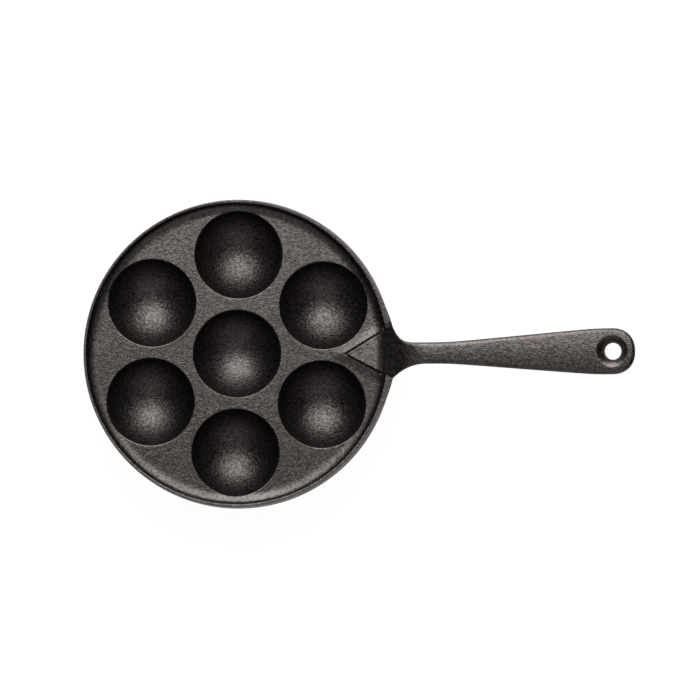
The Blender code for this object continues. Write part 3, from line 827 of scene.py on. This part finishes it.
    def pocket_patch(self, azimuths):
        """Walls and floor of the pocket: lines across between points on its two edges."""
        count = self.NOTCH_STEPS - 2
        ends = polar(self.outer_radius, azimuths[[0, -self.NOTCH_STEPS]])
        left = np.concatenate([between(self.tip, ends[0], self.SEAM_STEPS), ends[:1]])
        right = np.concatenate([between(self.tip, ends[1], self.SEAM_STEPS), ends[1:]])
        width = np.hypot(*(left - right).T)
        inset = np.minimum(self.WALL_STEP / np.maximum(width, self.WALL_STEP), 0.5)
        share = inset[:, None] + (1 - 2 * inset[:, None]) * np.arange(count + 1) / count
        across = right[:, None] + share[..., None] * (left - right)[:, None]
        across[-1] = polar(self.outer_radius, azimuths[-(self.NOTCH_STEPS - 1):])
        points = np.concatenate([right[:, None], across, left[:, None]], 1)
        height = np.full(points.shape[:2], self.socket.floor_height)
        for column in (0, -1):
            height[:, column] = self.plate_height(points[:, column, 0], points[:, column, 1])
        return with_height(points, height)

    def build(self, name):
        """The whole casting as one object."""
        surface = Surface()
        radius = np.array([[self.outer_radius]])
        ends = [self.edge_azimuth(direction, radius) for direction in (self.left, self.right)]
        azimuths = self.column_azimuths(*ends, radius)[0]
        surface.add(self.bowl_patch(ORIGIN, self.centre_border()), closed=True)
        surface.add(self.dome_patch(ORIGIN, self.centre_border()), closed=True)
        for index in range(OUTER_CUPS):
            centre = self.cup_centre(index)
            border = self.outer_border(index, self.upper_arc(azimuths, index), True)
            surface.add(self.bowl_patch(centre, border), closed=True)
            border = self.outer_border(index, self.lower_arc(index), False)
            surface.add(self.dome_patch(centre, border), closed=True)
        surface.add(self.rim_patch(), closed=True)
        surface.add(self.pocket_patch(azimuths))
        return surface.build(name, self.SHARP_ANGLE)


class Handle:
    """The handle's surface: sections across it, and a pad of rays round the hanging hole."""

    # Mesh steps across a section, then along the handle up to the place where the pad starts.
    TOP_STEPS = 12
    EDGE_STEPS = 6
    WALL_STEPS = 3
    TIP_STATIONS = 8
    STATION_SPACING = 0.0009
    LEAST_SPACING = 0.000018
    JOIN_X = 0.222

    # Mesh steps of the pad: its outline, the turn of its normals, its rings and the hole.
    OUTLINE_STEPS = 64
    TURN_STEPS = 7
    PAD_RINGS = 16
    HOLE_POINTS = 5
    THROAT_POINTS = 4
    FUNNEL_POINTS = 7

    # An edge arc takes at most these shares of a section's depth and half width.
    MOST_EDGE_OF_DEPTH = 0.49
    MOST_EDGE_OF_WIDTH = 0.8
    SHARP_ANGLE = radians(50)

    def __init__(self, sizes, collar_x, collar_radius):
        self.sizes = sizes
        self.spans = self.top_spans()
        self.left_corner = self.corner(1, collar_x, collar_radius)
        self.right_corner = self.corner(-1, collar_x, collar_radius)
        self.end_width = float(self.grip_width(np.array(sizes.end_x)))

    def edge_line(self, side):
        """Tangent point and direction of one straight edge of the arrow-shaped root."""
        sizes = self.sizes
        slant = sizes.left_angle if side > 0 else sizes.right_angle
        start = (
            sizes.tip_x + sizes.tip_radius - sizes.tip_radius * sin(slant),
            sizes.side_offset + side * sizes.tip_radius * cos(slant),
        )
        return np.array(start), polar(1.0, side * slant)

    def corner(self, side, centre_x, radius):
        """Where a straight edge of the root comes out of the pan's collar."""
        start, direction = self.edge_line(side)
        away = start - [centre_x, 0.0]
        along = away @ direction
        return start + direction * (-along + sqrt(along ** 2 - away @ away + radius ** 2))

    def grip_width(self, x):
        """Half width of the grip: level neck, straight taper, then parallel to the round end."""
        sizes = self.sizes
        parallel_x = sizes.end_x - sizes.parallel_length
        taper = sizes.end_radius - (parallel_x - x) * tan(sizes.taper)
        limited = -soft_max(-sizes.end_radius, -taper, sizes.blend)
        return soft_max(limited, sizes.neck_half_width, sizes.blend)

    def top_spans(self):
        """Side view of the top: straights and bends as (x, z, slope, radius).

        A straight has radius 0, and a bend that turns downward has a radius below 0.
        """
        sizes = self.sizes
        sweep, level, rise = sizes.sweep_angle, sizes.level_angle, sizes.rise_angle
        parts = (
            (0.0, 0.0, 0.0, sizes.sweep_start - sizes.tip_x),
            (sizes.foot_radius, 0.0, sweep, 0.0),
            (0.0, sweep, sweep, sizes.sweep_length * cos(sweep)),
            (-sizes.head_radius, sweep, level, 0.0),
            (0.0, level, level, sizes.level_length),
            (sizes.rise_radius, level, rise, 0.0),
            (0.0, rise, rise, 0.0),
        )
        spans = []
        x, z = sizes.tip_x, sizes.root_top
        for radius, slope, end_slope, straight in parts:
            spans.append((x, z, slope, radius))
            run, climb = bend(radius, slope, end_slope)
            x, z = x + straight + run, z + straight * tan(slope) + climb
        return spans

    def top(self, x):
        """Height and slope of the top's middle line at every x.

        On a bend, the slope's sine grows evenly along X, and the height by its cosine.
        """
        x = np.asarray(x, float)
        height = np.full(x.shape, self.sizes.root_top)
        slope = np.zeros(x.shape)
        for start_x, start_z, start_slope, radius in self.spans:
            along = np.maximum(x - start_x, 0.0)
            if radius:
                turned = np.arcsin(np.clip(sin(start_slope) + along / radius, -1.0, 1.0))
                here = start_z + radius * (cos(start_slope) - np.cos(turned))
            else:
                turned = np.full(x.shape, start_slope)
                here = start_z + along * tan(start_slope)
            height = np.where(x >= start_x, here, height)
            slope = np.where(x >= start_x, turned, slope)
        return height, slope

    def half_width(self, x, side):
        """Half width in plan of one side: round tip, straight root, flare, then the grip.

        The flare is what the root is wider at the collar, times a power of the way to the neck.
        """
        sizes = self.sizes
        start, direction = self.edge_line(side)
        corner = self.left_corner if side > 0 else self.right_corner
        tip_centre = sizes.tip_x + sizes.tip_radius
        tip = np.sqrt(np.maximum(sizes.tip_radius ** 2 - (x - tip_centre) ** 2, 0.0))
        edge = start[1] + (x - start[0]) * direction[1] / direction[0]
        root = np.abs(edge - sizes.side_offset)
        grip = self.grip_width(x)
        rest = np.clip((sizes.neck_x - x) / (sizes.neck_x - corner[0]), 0.0, 1.0)
        power = sizes.left_flare if side > 0 else sizes.right_flare
        grip = grip + (abs(corner[1] - sizes.side_offset) - grip) * rest ** power
        return np.select([x < start[0], x < corner[0]], [tip, root], grip)

    def outside_share(self, x):
        """0 in the pan's wall, rising to 1 at the neck by a cubic step."""
        sizes = self.sizes
        exit_x = sizes.sweep_start + sizes.foot_radius * sin(sizes.sweep_angle)
        return smooth((x - exit_x) / (sizes.neck_x - exit_x))

    def stations(self):
        """Places along X for the sections, closer round the root's tip."""
        sizes = self.sizes
        turn = np.linspace(0.0, pi / 2, self.TIP_STATIONS)
        tip = sizes.tip_x + sizes.tip_radius * (1 - np.cos(turn))
        corners = [self.left_corner[0], self.right_corner[0]]
        count = int((self.JOIN_X - tip[-1]) / self.STATION_SPACING)
        rest = np.linspace(tip[-1], self.JOIN_X, count + 1)[1:]
        places = np.sort(np.concatenate([tip, corners, rest]))
        return places[np.diff(places, prepend=0.0) > self.LEAST_SPACING]

    def section_values(self, x):
        """Top, bottom, crown, lean, edge depth and width, and the two half widths at every x.

        Outside the wall, the bottom goes from the root's level to a thickness below the top by a
        cubic step. The crown is the half width squared over twice the crown's radius.
        """
        sizes = self.sizes
        top, slope = self.top(x)
        root_bottom = sizes.root_top - sizes.root_depth
        lifted = np.maximum(top - sizes.thickness / np.cos(slope) - root_bottom, 0.0)
        bottom = root_bottom + lifted * smooth((x - sizes.wall_x) / sizes.underside_blend)
        share = self.outside_share(x)
        right, left = self.half_width(x, -1), self.half_width(x, 1)
        edge = sizes.root_edge + (sizes.edge - sizes.root_edge) * share
        edge = np.minimum(edge, self.MOST_EDGE_OF_DEPTH * (top - bottom))
        edge = np.minimum(edge, self.MOST_EDGE_OF_WIDTH * np.minimum(left, right))
        drop = sizes.root_edge_depth + (sizes.edge - sizes.root_edge_depth) * share
        crown = share * np.maximum(left, right) ** 2 / (2 * sizes.crown_radius)
        lean = (1 - share) * tan(sizes.root_lean)
        return top, bottom, crown, lean, drop, edge, right, left

    def edge_turns(self):
        """Cosine and sine of a quarter turn, from the flat to the wall."""
        turn = np.linspace(pi / 2, 0.0, self.EDGE_STEPS + 1)
        return np.cos(turn), np.sin(turn)

    def wall_shares(self):
        """Even places down the wall between the two edge arcs, both left out."""
        return np.arange(1, self.WALL_STEPS + 1) / (self.WALL_STEPS + 1)

    def side_grid(self, out, top, bottom, drop, edge):
        """One side of a section: upper edge arc, wall and lower edge arc, as (outward, height)."""
        cosine, sine = self.edge_turns()
        edge, out = edge[:, None], out[:, None]
        upper_z = top[:, None] - drop[:, None] * (1 - sine)
        lower_z = bottom[:, None] + edge * (1 - sine[::-1])
        wall_z = upper_z[:, -1:] + self.wall_shares() * (lower_z[:, :1] - upper_z[:, -1:])
        outward = np.concatenate(
            [out - edge * (1 - cosine), out + 0 * wall_z, out - edge * (1 - cosine[::-1])], 1,
        )
        return outward, np.concatenate([upper_z, wall_z, lower_z], 1)

    def flat_offsets(self, edge, right, left):
        """Offsets across the flat part of a section, from the right edge arc to the left one."""
        share = np.linspace(-1.0, 1.0, 2 * self.TOP_STEPS + 1)
        across = np.where(share < 0, (right - edge)[:, None], (left - edge)[:, None])
        return share * across, share

    def sections(self):
        """Rings across the handle from the root's tip to the pad, each closed.

        The top falls by the crown times the share across squared, and by the lean times y.
        """
        x = self.stations()
        top, bottom, crown, lean, drop, edge, right, left = self.section_values(x)
        offsets, share = self.flat_offsets(edge, right, left)
        top_z = top[:, None] - crown[:, None] * share ** 2 - lean[:, None] * offsets
        bottom_z = np.repeat(bottom[:, None], len(share), 1)
        left_y, left_z = self.side_grid(left, top_z[:, -1], bottom, drop, edge)
        right_y, right_z = self.side_grid(right, top_z[:, 0], bottom, drop, edge)
        y = np.concatenate([offsets, left_y[:, 1:-1], offsets[:, ::-1], -right_y[:, -2:0:-1]], 1)
        z = np.concatenate([top_z, left_z[:, 1:-1], bottom_z, right_z[:, -2:0:-1]], 1)
        along = np.repeat(x[:, None], y.shape[1], 1)
        return np.stack([along, self.sizes.side_offset + y, z], -1)

    def surface_top(self, x, y):
        """Crowned top at any place on the pad: its middle line, less a parabola across it."""
        sizes = self.sizes
        width = self.grip_width(np.minimum(x, sizes.end_x))
        share = np.clip((y - sizes.side_offset) / (width - sizes.edge), -1.0, 1.0)
        return self.top(x)[0] - width ** 2 / (2 * sizes.crown_radius) * share ** 2

    def surface_bottom(self, x):
        """Underside at any place on the pad, a thickness below the top."""
        height, slope = self.top(x)
        return height - self.sizes.thickness / np.cos(slope)

    def outline(self):
        """The pad's free outline, from the left end of the join round to its right end.

        Sides by half width, then an end whose x and y, each over its half width and raised to
        the bluntness, add up to one. The normals turn from straight across at the join to the
        outline's own, which stand square to its tangents.
        """
        sizes = self.sizes
        x = np.linspace(self.JOIN_X, sizes.end_x, self.OUTLINE_STEPS // 4 + 1)[:-1]
        turn = np.linspace(pi / 2, 0.0, self.OUTLINE_STEPS // 2 + 1)
        power = 2 / sizes.end_bluntness
        end_x = sizes.end_x + sizes.end_radius * np.maximum(np.cos(turn), 0.0) ** power
        half = np.concatenate([
            np.stack([x, self.grip_width(x)], -1),
            np.stack([end_x, self.end_width * np.sin(turn) ** power], -1),
        ])
        points = np.concatenate([half, half[-2::-1] * [1.0, -1.0]])
        tangents = np.gradient(points, axis=0)
        normals = np.stack([-tangents[:, 1], tangents[:, 0]], -1)
        normals = normals / np.hypot(normals[:, :1], normals[:, 1:])
        from_end = np.minimum(np.arange(len(points)), np.arange(len(points))[::-1])
        blend = smooth(from_end / self.TURN_STEPS)[:, None]
        across = np.stack([0 * points[:, 1], np.where(points[:, 1] < 0, -1.0, 1.0)], -1)
        normals = across + blend * (normals - across)
        return points, normals / np.hypot(normals[:, :1], normals[:, 1:])

    def hole_profile(self):
        """Radius and depth of the hole from underneath: rounding, bore, then three bends."""
        sizes = self.sizes
        turn = np.linspace(0.0, pi / 2, self.HOLE_POINTS)
        under = np.stack([
            sizes.hole_radius + sizes.back_round * (1 - np.sin(turn)),
            sizes.thickness - sizes.back_round * (1 - np.cos(turn)),
        ], -1)
        bends = (
            (sizes.throat_radius, pi / 2, sizes.throat_angle, self.THROAT_POINTS),
            (sizes.funnel_radius, sizes.throat_angle, sizes.funnel_angle, self.FUNNEL_POINTS),
            (sizes.funnel_lip, sizes.funnel_angle, 0.0, self.FUNNEL_POINTS),
        )
        radius = sizes.hole_radius
        depth = -sum(bend(size, high, low)[1] for size, high, low, _ in bends)
        bore = between(under[-1], (radius, depth), self.HOLE_POINTS)[1:]
        parts = [under, bore, [(radius, depth)]]
        for size, high, low, count in bends:
            run, rise = bend(size, high, np.linspace(high, low, count + 1)[1:])
            parts.append(np.stack([radius - run, depth + rise], -1))
            radius, depth = parts[-1][-1]
        return np.concatenate(parts).T

    def hole_patch(self, turn):
        """The hole's profile turned about an axis square to the top, below the crowned top."""
        sizes = self.sizes
        slope = float(self.top(sizes.end_x)[1])
        radius, depth = (values[:, None] for values in self.hole_profile())
        plan_x = sizes.end_x + radius * np.cos(turn) * cos(slope)
        plan_y = sizes.side_offset + radius * np.sin(turn)
        plain = self.top(plan_x)[0]
        crown = self.surface_top(plan_x, plan_y) - plain
        blend = smooth((radius - sizes.hole_radius) / (radius[-1] - sizes.hole_radius))
        in_funnel = depth < sizes.thickness / 2 + sizes.back_round
        height = plain + crown * np.where(in_funnel, blend, 0.0) - depth * cos(slope)
        return np.stack([plan_x + depth * sin(slope), plan_y, height], -1)

    def pad(self, surface):
        """Hole, top, underside and rounded edge of the handle's end."""
        sizes = self.sizes
        points, normals = self.outline()
        inset = points - sizes.edge * normals
        *_, edge, right, left = self.section_values(np.array([self.JOIN_X]))
        offsets, _ = self.flat_offsets(edge, right, left)
        across = np.stack([np.full(offsets.shape[1], self.JOIN_X), offsets[0]], -1)
        border = np.concatenate([inset[:-1], across[:-1]])
        from_hole = (border - [sizes.end_x, 0.0]) / [cos(self.top(sizes.end_x)[1]), 1.0]
        hole = self.hole_patch(np.arctan2(from_hole[:, 1], from_hole[:, 0]))
        surface.add(hole, closed=True)
        share = np.linspace(0.0, 1.0, self.PAD_RINGS + 1)[:, None, None]
        world_border = border + [0.0, sizes.side_offset]
        top_plan = hole[-1, :, :2] + share * (world_border - hole[-1, :, :2])
        top_z = self.surface_top(top_plan[..., 0], top_plan[..., 1])
        surface.add(with_height(top_plan, top_z), closed=True)
        low_plan = hole[0, :, :2] + share * (world_border - hole[0, :, :2])
        surface.add(with_height(low_plan, self.surface_bottom(low_plan[..., 0])), closed=True)
        surface.add(self.pad_edge(points, normals, inset))

    def pad_edge(self, points, normals, inset):
        """Rounded edges and wall along the free outline, rows downward.

        Quarter circles of the edge's radius along the outline's normals, a straight wall between.
        """
        sizes = self.sizes
        cosine, sine = self.edge_turns()
        crowned = self.surface_top(inset[:, 0], inset[:, 1] + sizes.side_offset)
        crown = self.top(inset[:, 0])[0] - crowned
        upper = inset + sizes.edge * cosine[:, None, None] * normals
        upper_z = self.top(upper[..., 0])[0] - crown - sizes.edge * (1 - sine)[:, None]
        lower = inset + sizes.edge * cosine[::-1, None, None] * normals
        lower_z = self.surface_bottom(lower[..., 0]) + sizes.edge * (1 - sine[::-1])[:, None]
        wall_z = upper_z[-1] + self.wall_shares()[:, None] * (lower_z[0] - upper_z[-1])
        wall = np.repeat(points[None], self.WALL_STEPS, 0)
        plan = np.concatenate([upper, wall, lower]) + [0.0, sizes.side_offset]
        return with_height(plan, np.concatenate([upper_z, wall_z, lower_z]))

    def build(self, name):
        """The whole handle as one object."""
        surface = Surface()
        surface.add(self.sections(), closed=True)
        self.pad(surface)
        return surface.build(name, self.SHARP_ANGLE)


def feed(tree, value, socket):
    """Give an input its value: a link from another socket, a colour or a number."""
    if isinstance(value, bpy.types.NodeSocket):
        tree.links.new(value, socket)
    elif isinstance(value, tuple):
        socket.default_value = (*value, 1.0)
    else:
        socket.default_value = value


def place(tree, kind, inputs=None, **settings):
    """A node with its settings given as keywords, and its inputs by name or number."""
    node = tree.nodes.new(kind)
    for name, value in settings.items():
        setattr(node, name, value)
    for name, value in (inputs or {}).items():
        feed(tree, value, node.inputs[name])
    return node


def math(tree, operation, first, second, clamp=False):
    """Result of a Math node. Each operand is a socket or a number."""
    values = {0: first, 1: second}
    return place(tree, "ShaderNodeMath", values, operation=operation, use_clamp=clamp).outputs[0]


def noise(tree, vector, scale, detail, roughness):
    """Factor of a 3D noise. Scale is a socket or a number, in waves per metre."""
    values = {"Vector": vector, "Scale": scale, "Detail": detail, "Roughness": roughness}
    return place(tree, "ShaderNodeTexNoise", values, noise_dimensions="3D").outputs[0]


def spread(tree, value, old, new=(0.0, 1.0)):
    """Map Range from the old pair of values to the new pair, held at both ends."""
    values = {
        "Value": value,
        "From Min": old[0], "From Max": old[1],
        "To Min": new[0], "To Max": new[1],
    }
    return place(tree, "ShaderNodeMapRange", values, clamp=True).outputs["Result"]


def object_place(tree):
    """Where a point lies on the piece, in metres."""
    return place(tree, "ShaderNodeTexCoord").outputs["Object"]


def node_group(name, inputs, outputs):
    """A shader node group: its tree, the sockets that its inputs give and those it puts out.

    Inputs are given by default value and outputs by kind of socket.
    """
    tree = bpy.data.node_groups.new(name, "ShaderNodeTree")
    for label, default in inputs.items():
        kind = "NodeSocketColor" if isinstance(default, tuple) else "NodeSocketFloat"
        feed(tree, default, tree.interface.new_socket(name=label, in_out="INPUT", socket_type=kind))
    for label, kind in outputs.items():
        tree.interface.new_socket(name=label, in_out="OUTPUT", socket_type=kind)
    return tree, place(tree, "NodeGroupInput").outputs, place(tree, "NodeGroupOutput").inputs


def cast_grain_group():
    """Sand-cast skin: rounded grains of one size, softer waves between them and small pits.

    Height in metres = depth x (weighted sum of the layers) - pit depth x pits.
    """
    tree, given, result = node_group(
        "Cast grain",
        {"Grain Size": 0.001, "Depth": 0.00003, "Pit Depth": 0.00003},
        {"Height": "NodeSocketFloat", "Pits": "NodeSocketFloat"},
    )
    where = object_place(tree)
    size = given["Grain Size"]
    grains = 0.0
    for waves, detail, roughness, weight in GRAIN_LAYERS:
        layer = noise(tree, where, math(tree, "DIVIDE", waves, size), detail, roughness)
        grains = math(tree, "ADD", grains, math(tree, "MULTIPLY", layer, weight))
    pit_scale = math(tree, "DIVIDE", PIT_WAVES, size)
    cells = place(tree, "ShaderNodeTexVoronoi", {"Vector": where, "Scale": pit_scale}, feature="F1")
    pits = spread(tree, cells.outputs["Distance"], PIT_EDGE, (1.0, 0.0))
    patches = spread(tree, noise(tree, where, PIT_PATCH_WAVES, 1.0, 0.5), PIT_PATCH_EDGE)
    pits = math(tree, "MULTIPLY", pits, patches)
    height = math(tree, "MULTIPLY", grains, given["Depth"])
    dug = math(tree, "MULTIPLY", pits, given["Pit Depth"])
    feed(tree, math(tree, "SUBTRACT", height, dug), result["Height"])
    feed(tree, pits, result["Pits"])


def seasoning_and_pit_shade_group():
    """Baked-on oil: cloudy patches and fine mottles of tone and gloss. Pits get painted shade."""
    tree, given, result = node_group(
        "Seasoning and pit shade",
        {"Colour": (0.09, 0.08, 0.08), "Roughness": 0.55, "Pits": 0.0, "Mottle": 0.3},
        {"Base Color": "NodeSocketColor", "Roughness": "NodeSocketFloat"},
    )
    where = object_place(tree)
    clouds = noise(tree, where, *CLOUDS)
    mottle = spread(tree, noise(tree, where, *MOTTLES), MOTTLE_RANGE, (-1.0, 1.0))
    cloud_tone = spread(tree, clouds, CLOUD_RANGE, (-CLOUD_TONE, CLOUD_TONE))
    tone = math(tree, "ADD", cloud_tone, math(tree, "MULTIPLY", mottle, given["Mottle"]))
    # Painted shade: the iron's colour is darkened inside the pits.
    pit_painted_shade = math(tree, "MULTIPLY", given["Pits"], PIT_PAINTED_SHADE)
    tone = math(tree, "SUBTRACT", math(tree, "ADD", tone, 1.0), pit_painted_shade)
    values = {0: given["Colour"], "Scale": tone}
    scaled = place(tree, "ShaderNodeVectorMath", values, operation="SCALE")
    feed(tree, scaled.outputs["Vector"], result["Base Color"])
    cloud_gloss = spread(tree, clouds, CLOUD_RANGE, (CLOUD_GLOSS, -CLOUD_GLOSS))
    gloss = math(tree, "ADD", given["Roughness"], cloud_gloss)
    fine_gloss = math(tree, "MULTIPLY", mottle, MOTTLE_GLOSS)
    feed(tree, math(tree, "ADD", gloss, fine_gloss, clamp=True), result["Roughness"])


def iron_material(name, tint, roughness, grain_size, depth, coarse_below, coarseness):
    """Seasoned iron: dark metal, with the cast grain as bump, the seasoning as tone and gloss, and
    painted shade in the pits.

    Grain and mottling are stronger by the coarseness below the given height.
    """
    material = bpy.data.materials.new(name)
    material.use_nodes = True
    material.diffuse_color = (*tint, 1.0)
    tree = material.node_tree
    groups = bpy.data.node_groups
    height = place(tree, "ShaderNodeSeparateXYZ", {0: object_place(tree)}).outputs["Z"]
    fade = (coarse_below - COARSE_FADE, coarse_below)
    stronger = spread(tree, height, fade, (coarseness, 1.0))
    skin = {
        "Grain Size": grain_size,
        "Depth": math(tree, "MULTIPLY", stronger, depth),
        "Pit Depth": PIT_DEPTH,
    }
    grain = place(tree, "ShaderNodeGroup", skin, node_tree=groups["Cast grain"])
    coat = {
        "Colour": tint,
        "Roughness": roughness,
        # The pits' mask, inside which the seasoning group paints shade.
        "Pits": grain.outputs["Pits"],
        "Mottle": math(tree, "MULTIPLY", stronger, MOTTLE_TONE),
    }
    seasoning = place(tree, "ShaderNodeGroup", coat, node_tree=groups["Seasoning and pit shade"])
    relief = {"Strength": 1.0, "Distance": 1.0, "Height": grain.outputs["Height"]}
    values = {
        "Metallic": 1.0,
        "Specular Tint": GRAZING_TINT,
        "Base Color": seasoning.outputs["Base Color"],
        "Roughness": seasoning.outputs["Roughness"],
        "Normal": place(tree, "ShaderNodeBump", relief).outputs["Normal"],
    }
    for label, value in values.items():
        feed(tree, value, tree.nodes["Principled BSDF"].inputs[label])


def floor_material():
    """White floor: a glow that camera, gloss and glass see, and a matt coat that takes shadow."""
    material = bpy.data.materials.new("white floor")
    material.use_nodes = True
    tree = material.node_tree
    tree.nodes.remove(tree.nodes["Principled BSDF"])
    rays = place(tree, "ShaderNodeLightPath").outputs
    seen = math(tree, "ADD", rays["Is Camera Ray"], rays["Is Glossy Ray"])
    seen = math(tree, "ADD", seen, rays["Is Transmission Ray"], clamp=True)
    glow_values = {"Color": WHITE, "Strength": math(tree, "MULTIPLY", seen, FLOOR_GLOW)}
    glow = place(tree, "ShaderNodeEmission", glow_values)
    matt = place(tree, "ShaderNodeBsdfDiffuse", {"Color": FLOOR_MATT})
    both = place(tree, "ShaderNodeAddShader", {0: glow.outputs[0], 1: matt.outputs[0]})
    feed(tree, both.outputs[0], tree.nodes["Material Output"].inputs["Surface"])
    return material


def floor_disc():
    """A flat round floor at the height on which the pan stands."""
    turn = np.linspace(0.0, 2 * pi, FLOOR_STEPS, endpoint=False)
    ring = with_height(polar(FLOOR_RADIUS, turn), np.full(FLOOR_STEPS, FLOOR_HEIGHT))
    mesh = bpy.data.meshes.new("floor")
    mesh.from_pydata(ring.tolist(), [], [list(range(FLOOR_STEPS))])
    return add_object("floor", mesh)


def sky():
    """Dark overhead for the iron, white where the camera or clear parts look past the floor."""
    world = bpy.data.worlds.new("studio")
    world.use_nodes = True
    tree = world.node_tree
    rays = place(tree, "ShaderNodeLightPath").outputs
    white = math(tree, "ADD", rays["Is Camera Ray"], rays["Is Transmission Ray"], clamp=True)
    background = tree.nodes["Background"].inputs
    feed(tree, spread(tree, white, (0.0, 1.0), (SKY_LEVEL, 1.0)), background["Strength"])
    feed(tree, WHITE, background["Color"])
    bpy.context.scene.world = world


def soft_lamp(name, tilt, side, width, height, level, distance):
    """An oval lamp that faces the pan, tilted from straight above towards +Y and -X.

    From a distance d, a small lamp of power P gives a facing white card P / (pi d) squared.
    """
    toward = Vector((-sin(side), sin(tilt) * cos(side), cos(tilt))).normalized()
    lamp = bpy.data.lights.new(name, "AREA")
    lamp.shape = "ELLIPSE"
    lamp.size = width
    lamp.size_y = height
    lamp.energy = level * (pi * distance) ** 2
    light = add_object(name, lamp)
    light.location = Vector((AIM[0], 0.0, 0.0)) + distance * toward
    light.rotation_euler = toward.to_track_quat("Z", "Y").to_euler()


def camera(settings):
    """The photograph's view: nearly straight down, at its distance and turn."""
    lens = bpy.data.cameras.new("camera")
    lens.sensor_width = SENSOR_MILLIMETRES
    lens.lens = FOCAL_PIXELS / IMAGE_PIXELS * SENSOR_MILLIMETRES
    lens.clip_end = CAMERA_REACH
    view = add_object("camera", lens)
    view.location = (settings.camera_x, settings.camera_y, settings.camera_height)
    backward = (view.location - Vector((*AIM, settings.rim_height))).normalized()
    right = Vector((cos(CAMERA_TURN), -sin(CAMERA_TURN), 0.0))
    up = backward.cross(right).normalized()
    view.rotation_euler = Matrix((up.cross(backward), up, backward)).transposed().to_euler()
    bpy.context.scene.camera = view


class BuildIron(bpy.types.Operator):
    """Make the node groups and the two irons"""

    bl_idname = "muffin_pan.build_iron"
    bl_label = "Seasoned iron"

    def execute(self, context):
        finish = getattr(context.scene, IRON_FINISH)
        cast_grain_group()
        # The seasoning group also paints shade into the pits.
        seasoning_and_pit_shade_group()
        iron_material(
            "pan seasoned iron", tuple(finish.pan_colour), finish.roughness,
            finish.pan_grain, PAN_GRAIN_DEPTH, finish.coarse_below, finish.coarseness,
        )
        iron_material(
            "handle seasoned iron", tuple(finish.handle_colour), finish.roughness,
            finish.handle_grain, HANDLE_GRAIN_DEPTH, 0.0, 1.0,
        )
        return {"FINISHED"}


class BuildPan(bpy.types.Operator):
    """Make the pan's casting: seven cups, plate, rim, skirt, domed underside and pocket"""

    bl_idname = "muffin_pan.build_pan"
    bl_label = "Pan casting"

    def execute(self, context):
        scene = context.scene
        sizes = [getattr(scene, name) for name in (PAN_SIZES, SOCKET_SIZES, HANDLE_SIZES)]
        piece = Casting(*sizes).build("pan_casting")
        piece.data.materials.append(bpy.data.materials["pan seasoned iron"])
        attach(piece, "root")
        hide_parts("pan_body")
        return {"FINISHED"}


class BuildHandle(bpy.types.Operator):
    """Make the handle: arrow-shaped root, sweep over the rim, neck, grip and hanging hole"""

    bl_idname = "muffin_pan.build_handle"
    bl_label = "Handle"

    def execute(self, context):
        pan = getattr(context.scene, PAN_SIZES)
        sizes = getattr(context.scene, HANDLE_SIZES)
        piece = Handle(sizes, collar_centre(pan), pan.collar_radius).build("iron_handle")
        piece.data.materials.append(bpy.data.materials["handle seasoned iron"])
        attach(piece, "root")
        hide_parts("handle")
        return {"FINISHED"}


class BuildStudio(bpy.types.Operator):
    """Make the floor, the sky, the two lamps and the camera"""

    bl_idname = "muffin_pan.build_studio"
    bl_label = "Studio"

    def execute(self, context):
        settings = getattr(context.scene, STUDIO_SETTINGS)
        floor = floor_disc()
        floor.data.materials.append(floor_material())
        sky()
        soft_lamp(
            "key lamp", settings.key_tilt, settings.key_side, settings.key_width,
            settings.key_height, settings.key_level, settings.lamp_distance,
        )
        soft_lamp(
            "fill lamp", settings.fill_tilt, 0.0, settings.fill_width,
            settings.fill_height, settings.fill_level, settings.lamp_distance,
        )
        camera(settings)
        context.scene.view_settings.view_transform = "Standard"
        return {"FINISHED"}


OPERATORS = (BuildIron, BuildPan, BuildHandle, BuildStudio)
PROPERTY_GROUPS = {
    PAN_SIZES: PanSizes,
    SOCKET_SIZES: SocketSizes,
    HANDLE_SIZES: HandleSizes,
    IRON_FINISH: IronFinish,
    STUDIO_SETTINGS: StudioSettings,
}


class MuffinPanPanel(bpy.types.Panel):
    """Sizes, finish and buttons for each piece"""

    bl_idname = "VIEW3D_PT_muffin_pan"
    bl_label = "Muffin pan"
    bl_space_type = "VIEW_3D"
    bl_region_type = "UI"
    bl_category = "Muffin pan"

    def draw(self, context):
        for name in PROPERTY_GROUPS:
            values = getattr(context.scene, name)
            box = self.layout.box()
            for key in values.bl_rna.properties.keys():
                if key not in ("name", "rna_type"):
                    box.prop(values, key)
        for operator in OPERATORS:
            self.layout.operator(operator.bl_idname)


def register():
    for name, group in PROPERTY_GROUPS.items():
        bpy.utils.register_class(group)
        setattr(bpy.types.Scene, name, PointerProperty(type=group))
    for operator in OPERATORS:
        bpy.utils.register_class(operator)
    bpy.utils.register_class(MuffinPanPanel)


def unregister():
    bpy.utils.unregister_class(MuffinPanPanel)
    for operator in reversed(OPERATORS):
        bpy.utils.unregister_class(operator)
    for name, group in reversed(PROPERTY_GROUPS.items()):
        delattr(bpy.types.Scene, name)
        bpy.utils.unregister_class(group)


def main():
    """Build everything in order."""
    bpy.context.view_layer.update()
    register()
    bpy.ops.muffin_pan.build_iron()
    bpy.ops.muffin_pan.build_pan()
    bpy.ops.muffin_pan.build_handle()
    bpy.ops.muffin_pan.build_studio()


if __name__ == "__main__":
    main()
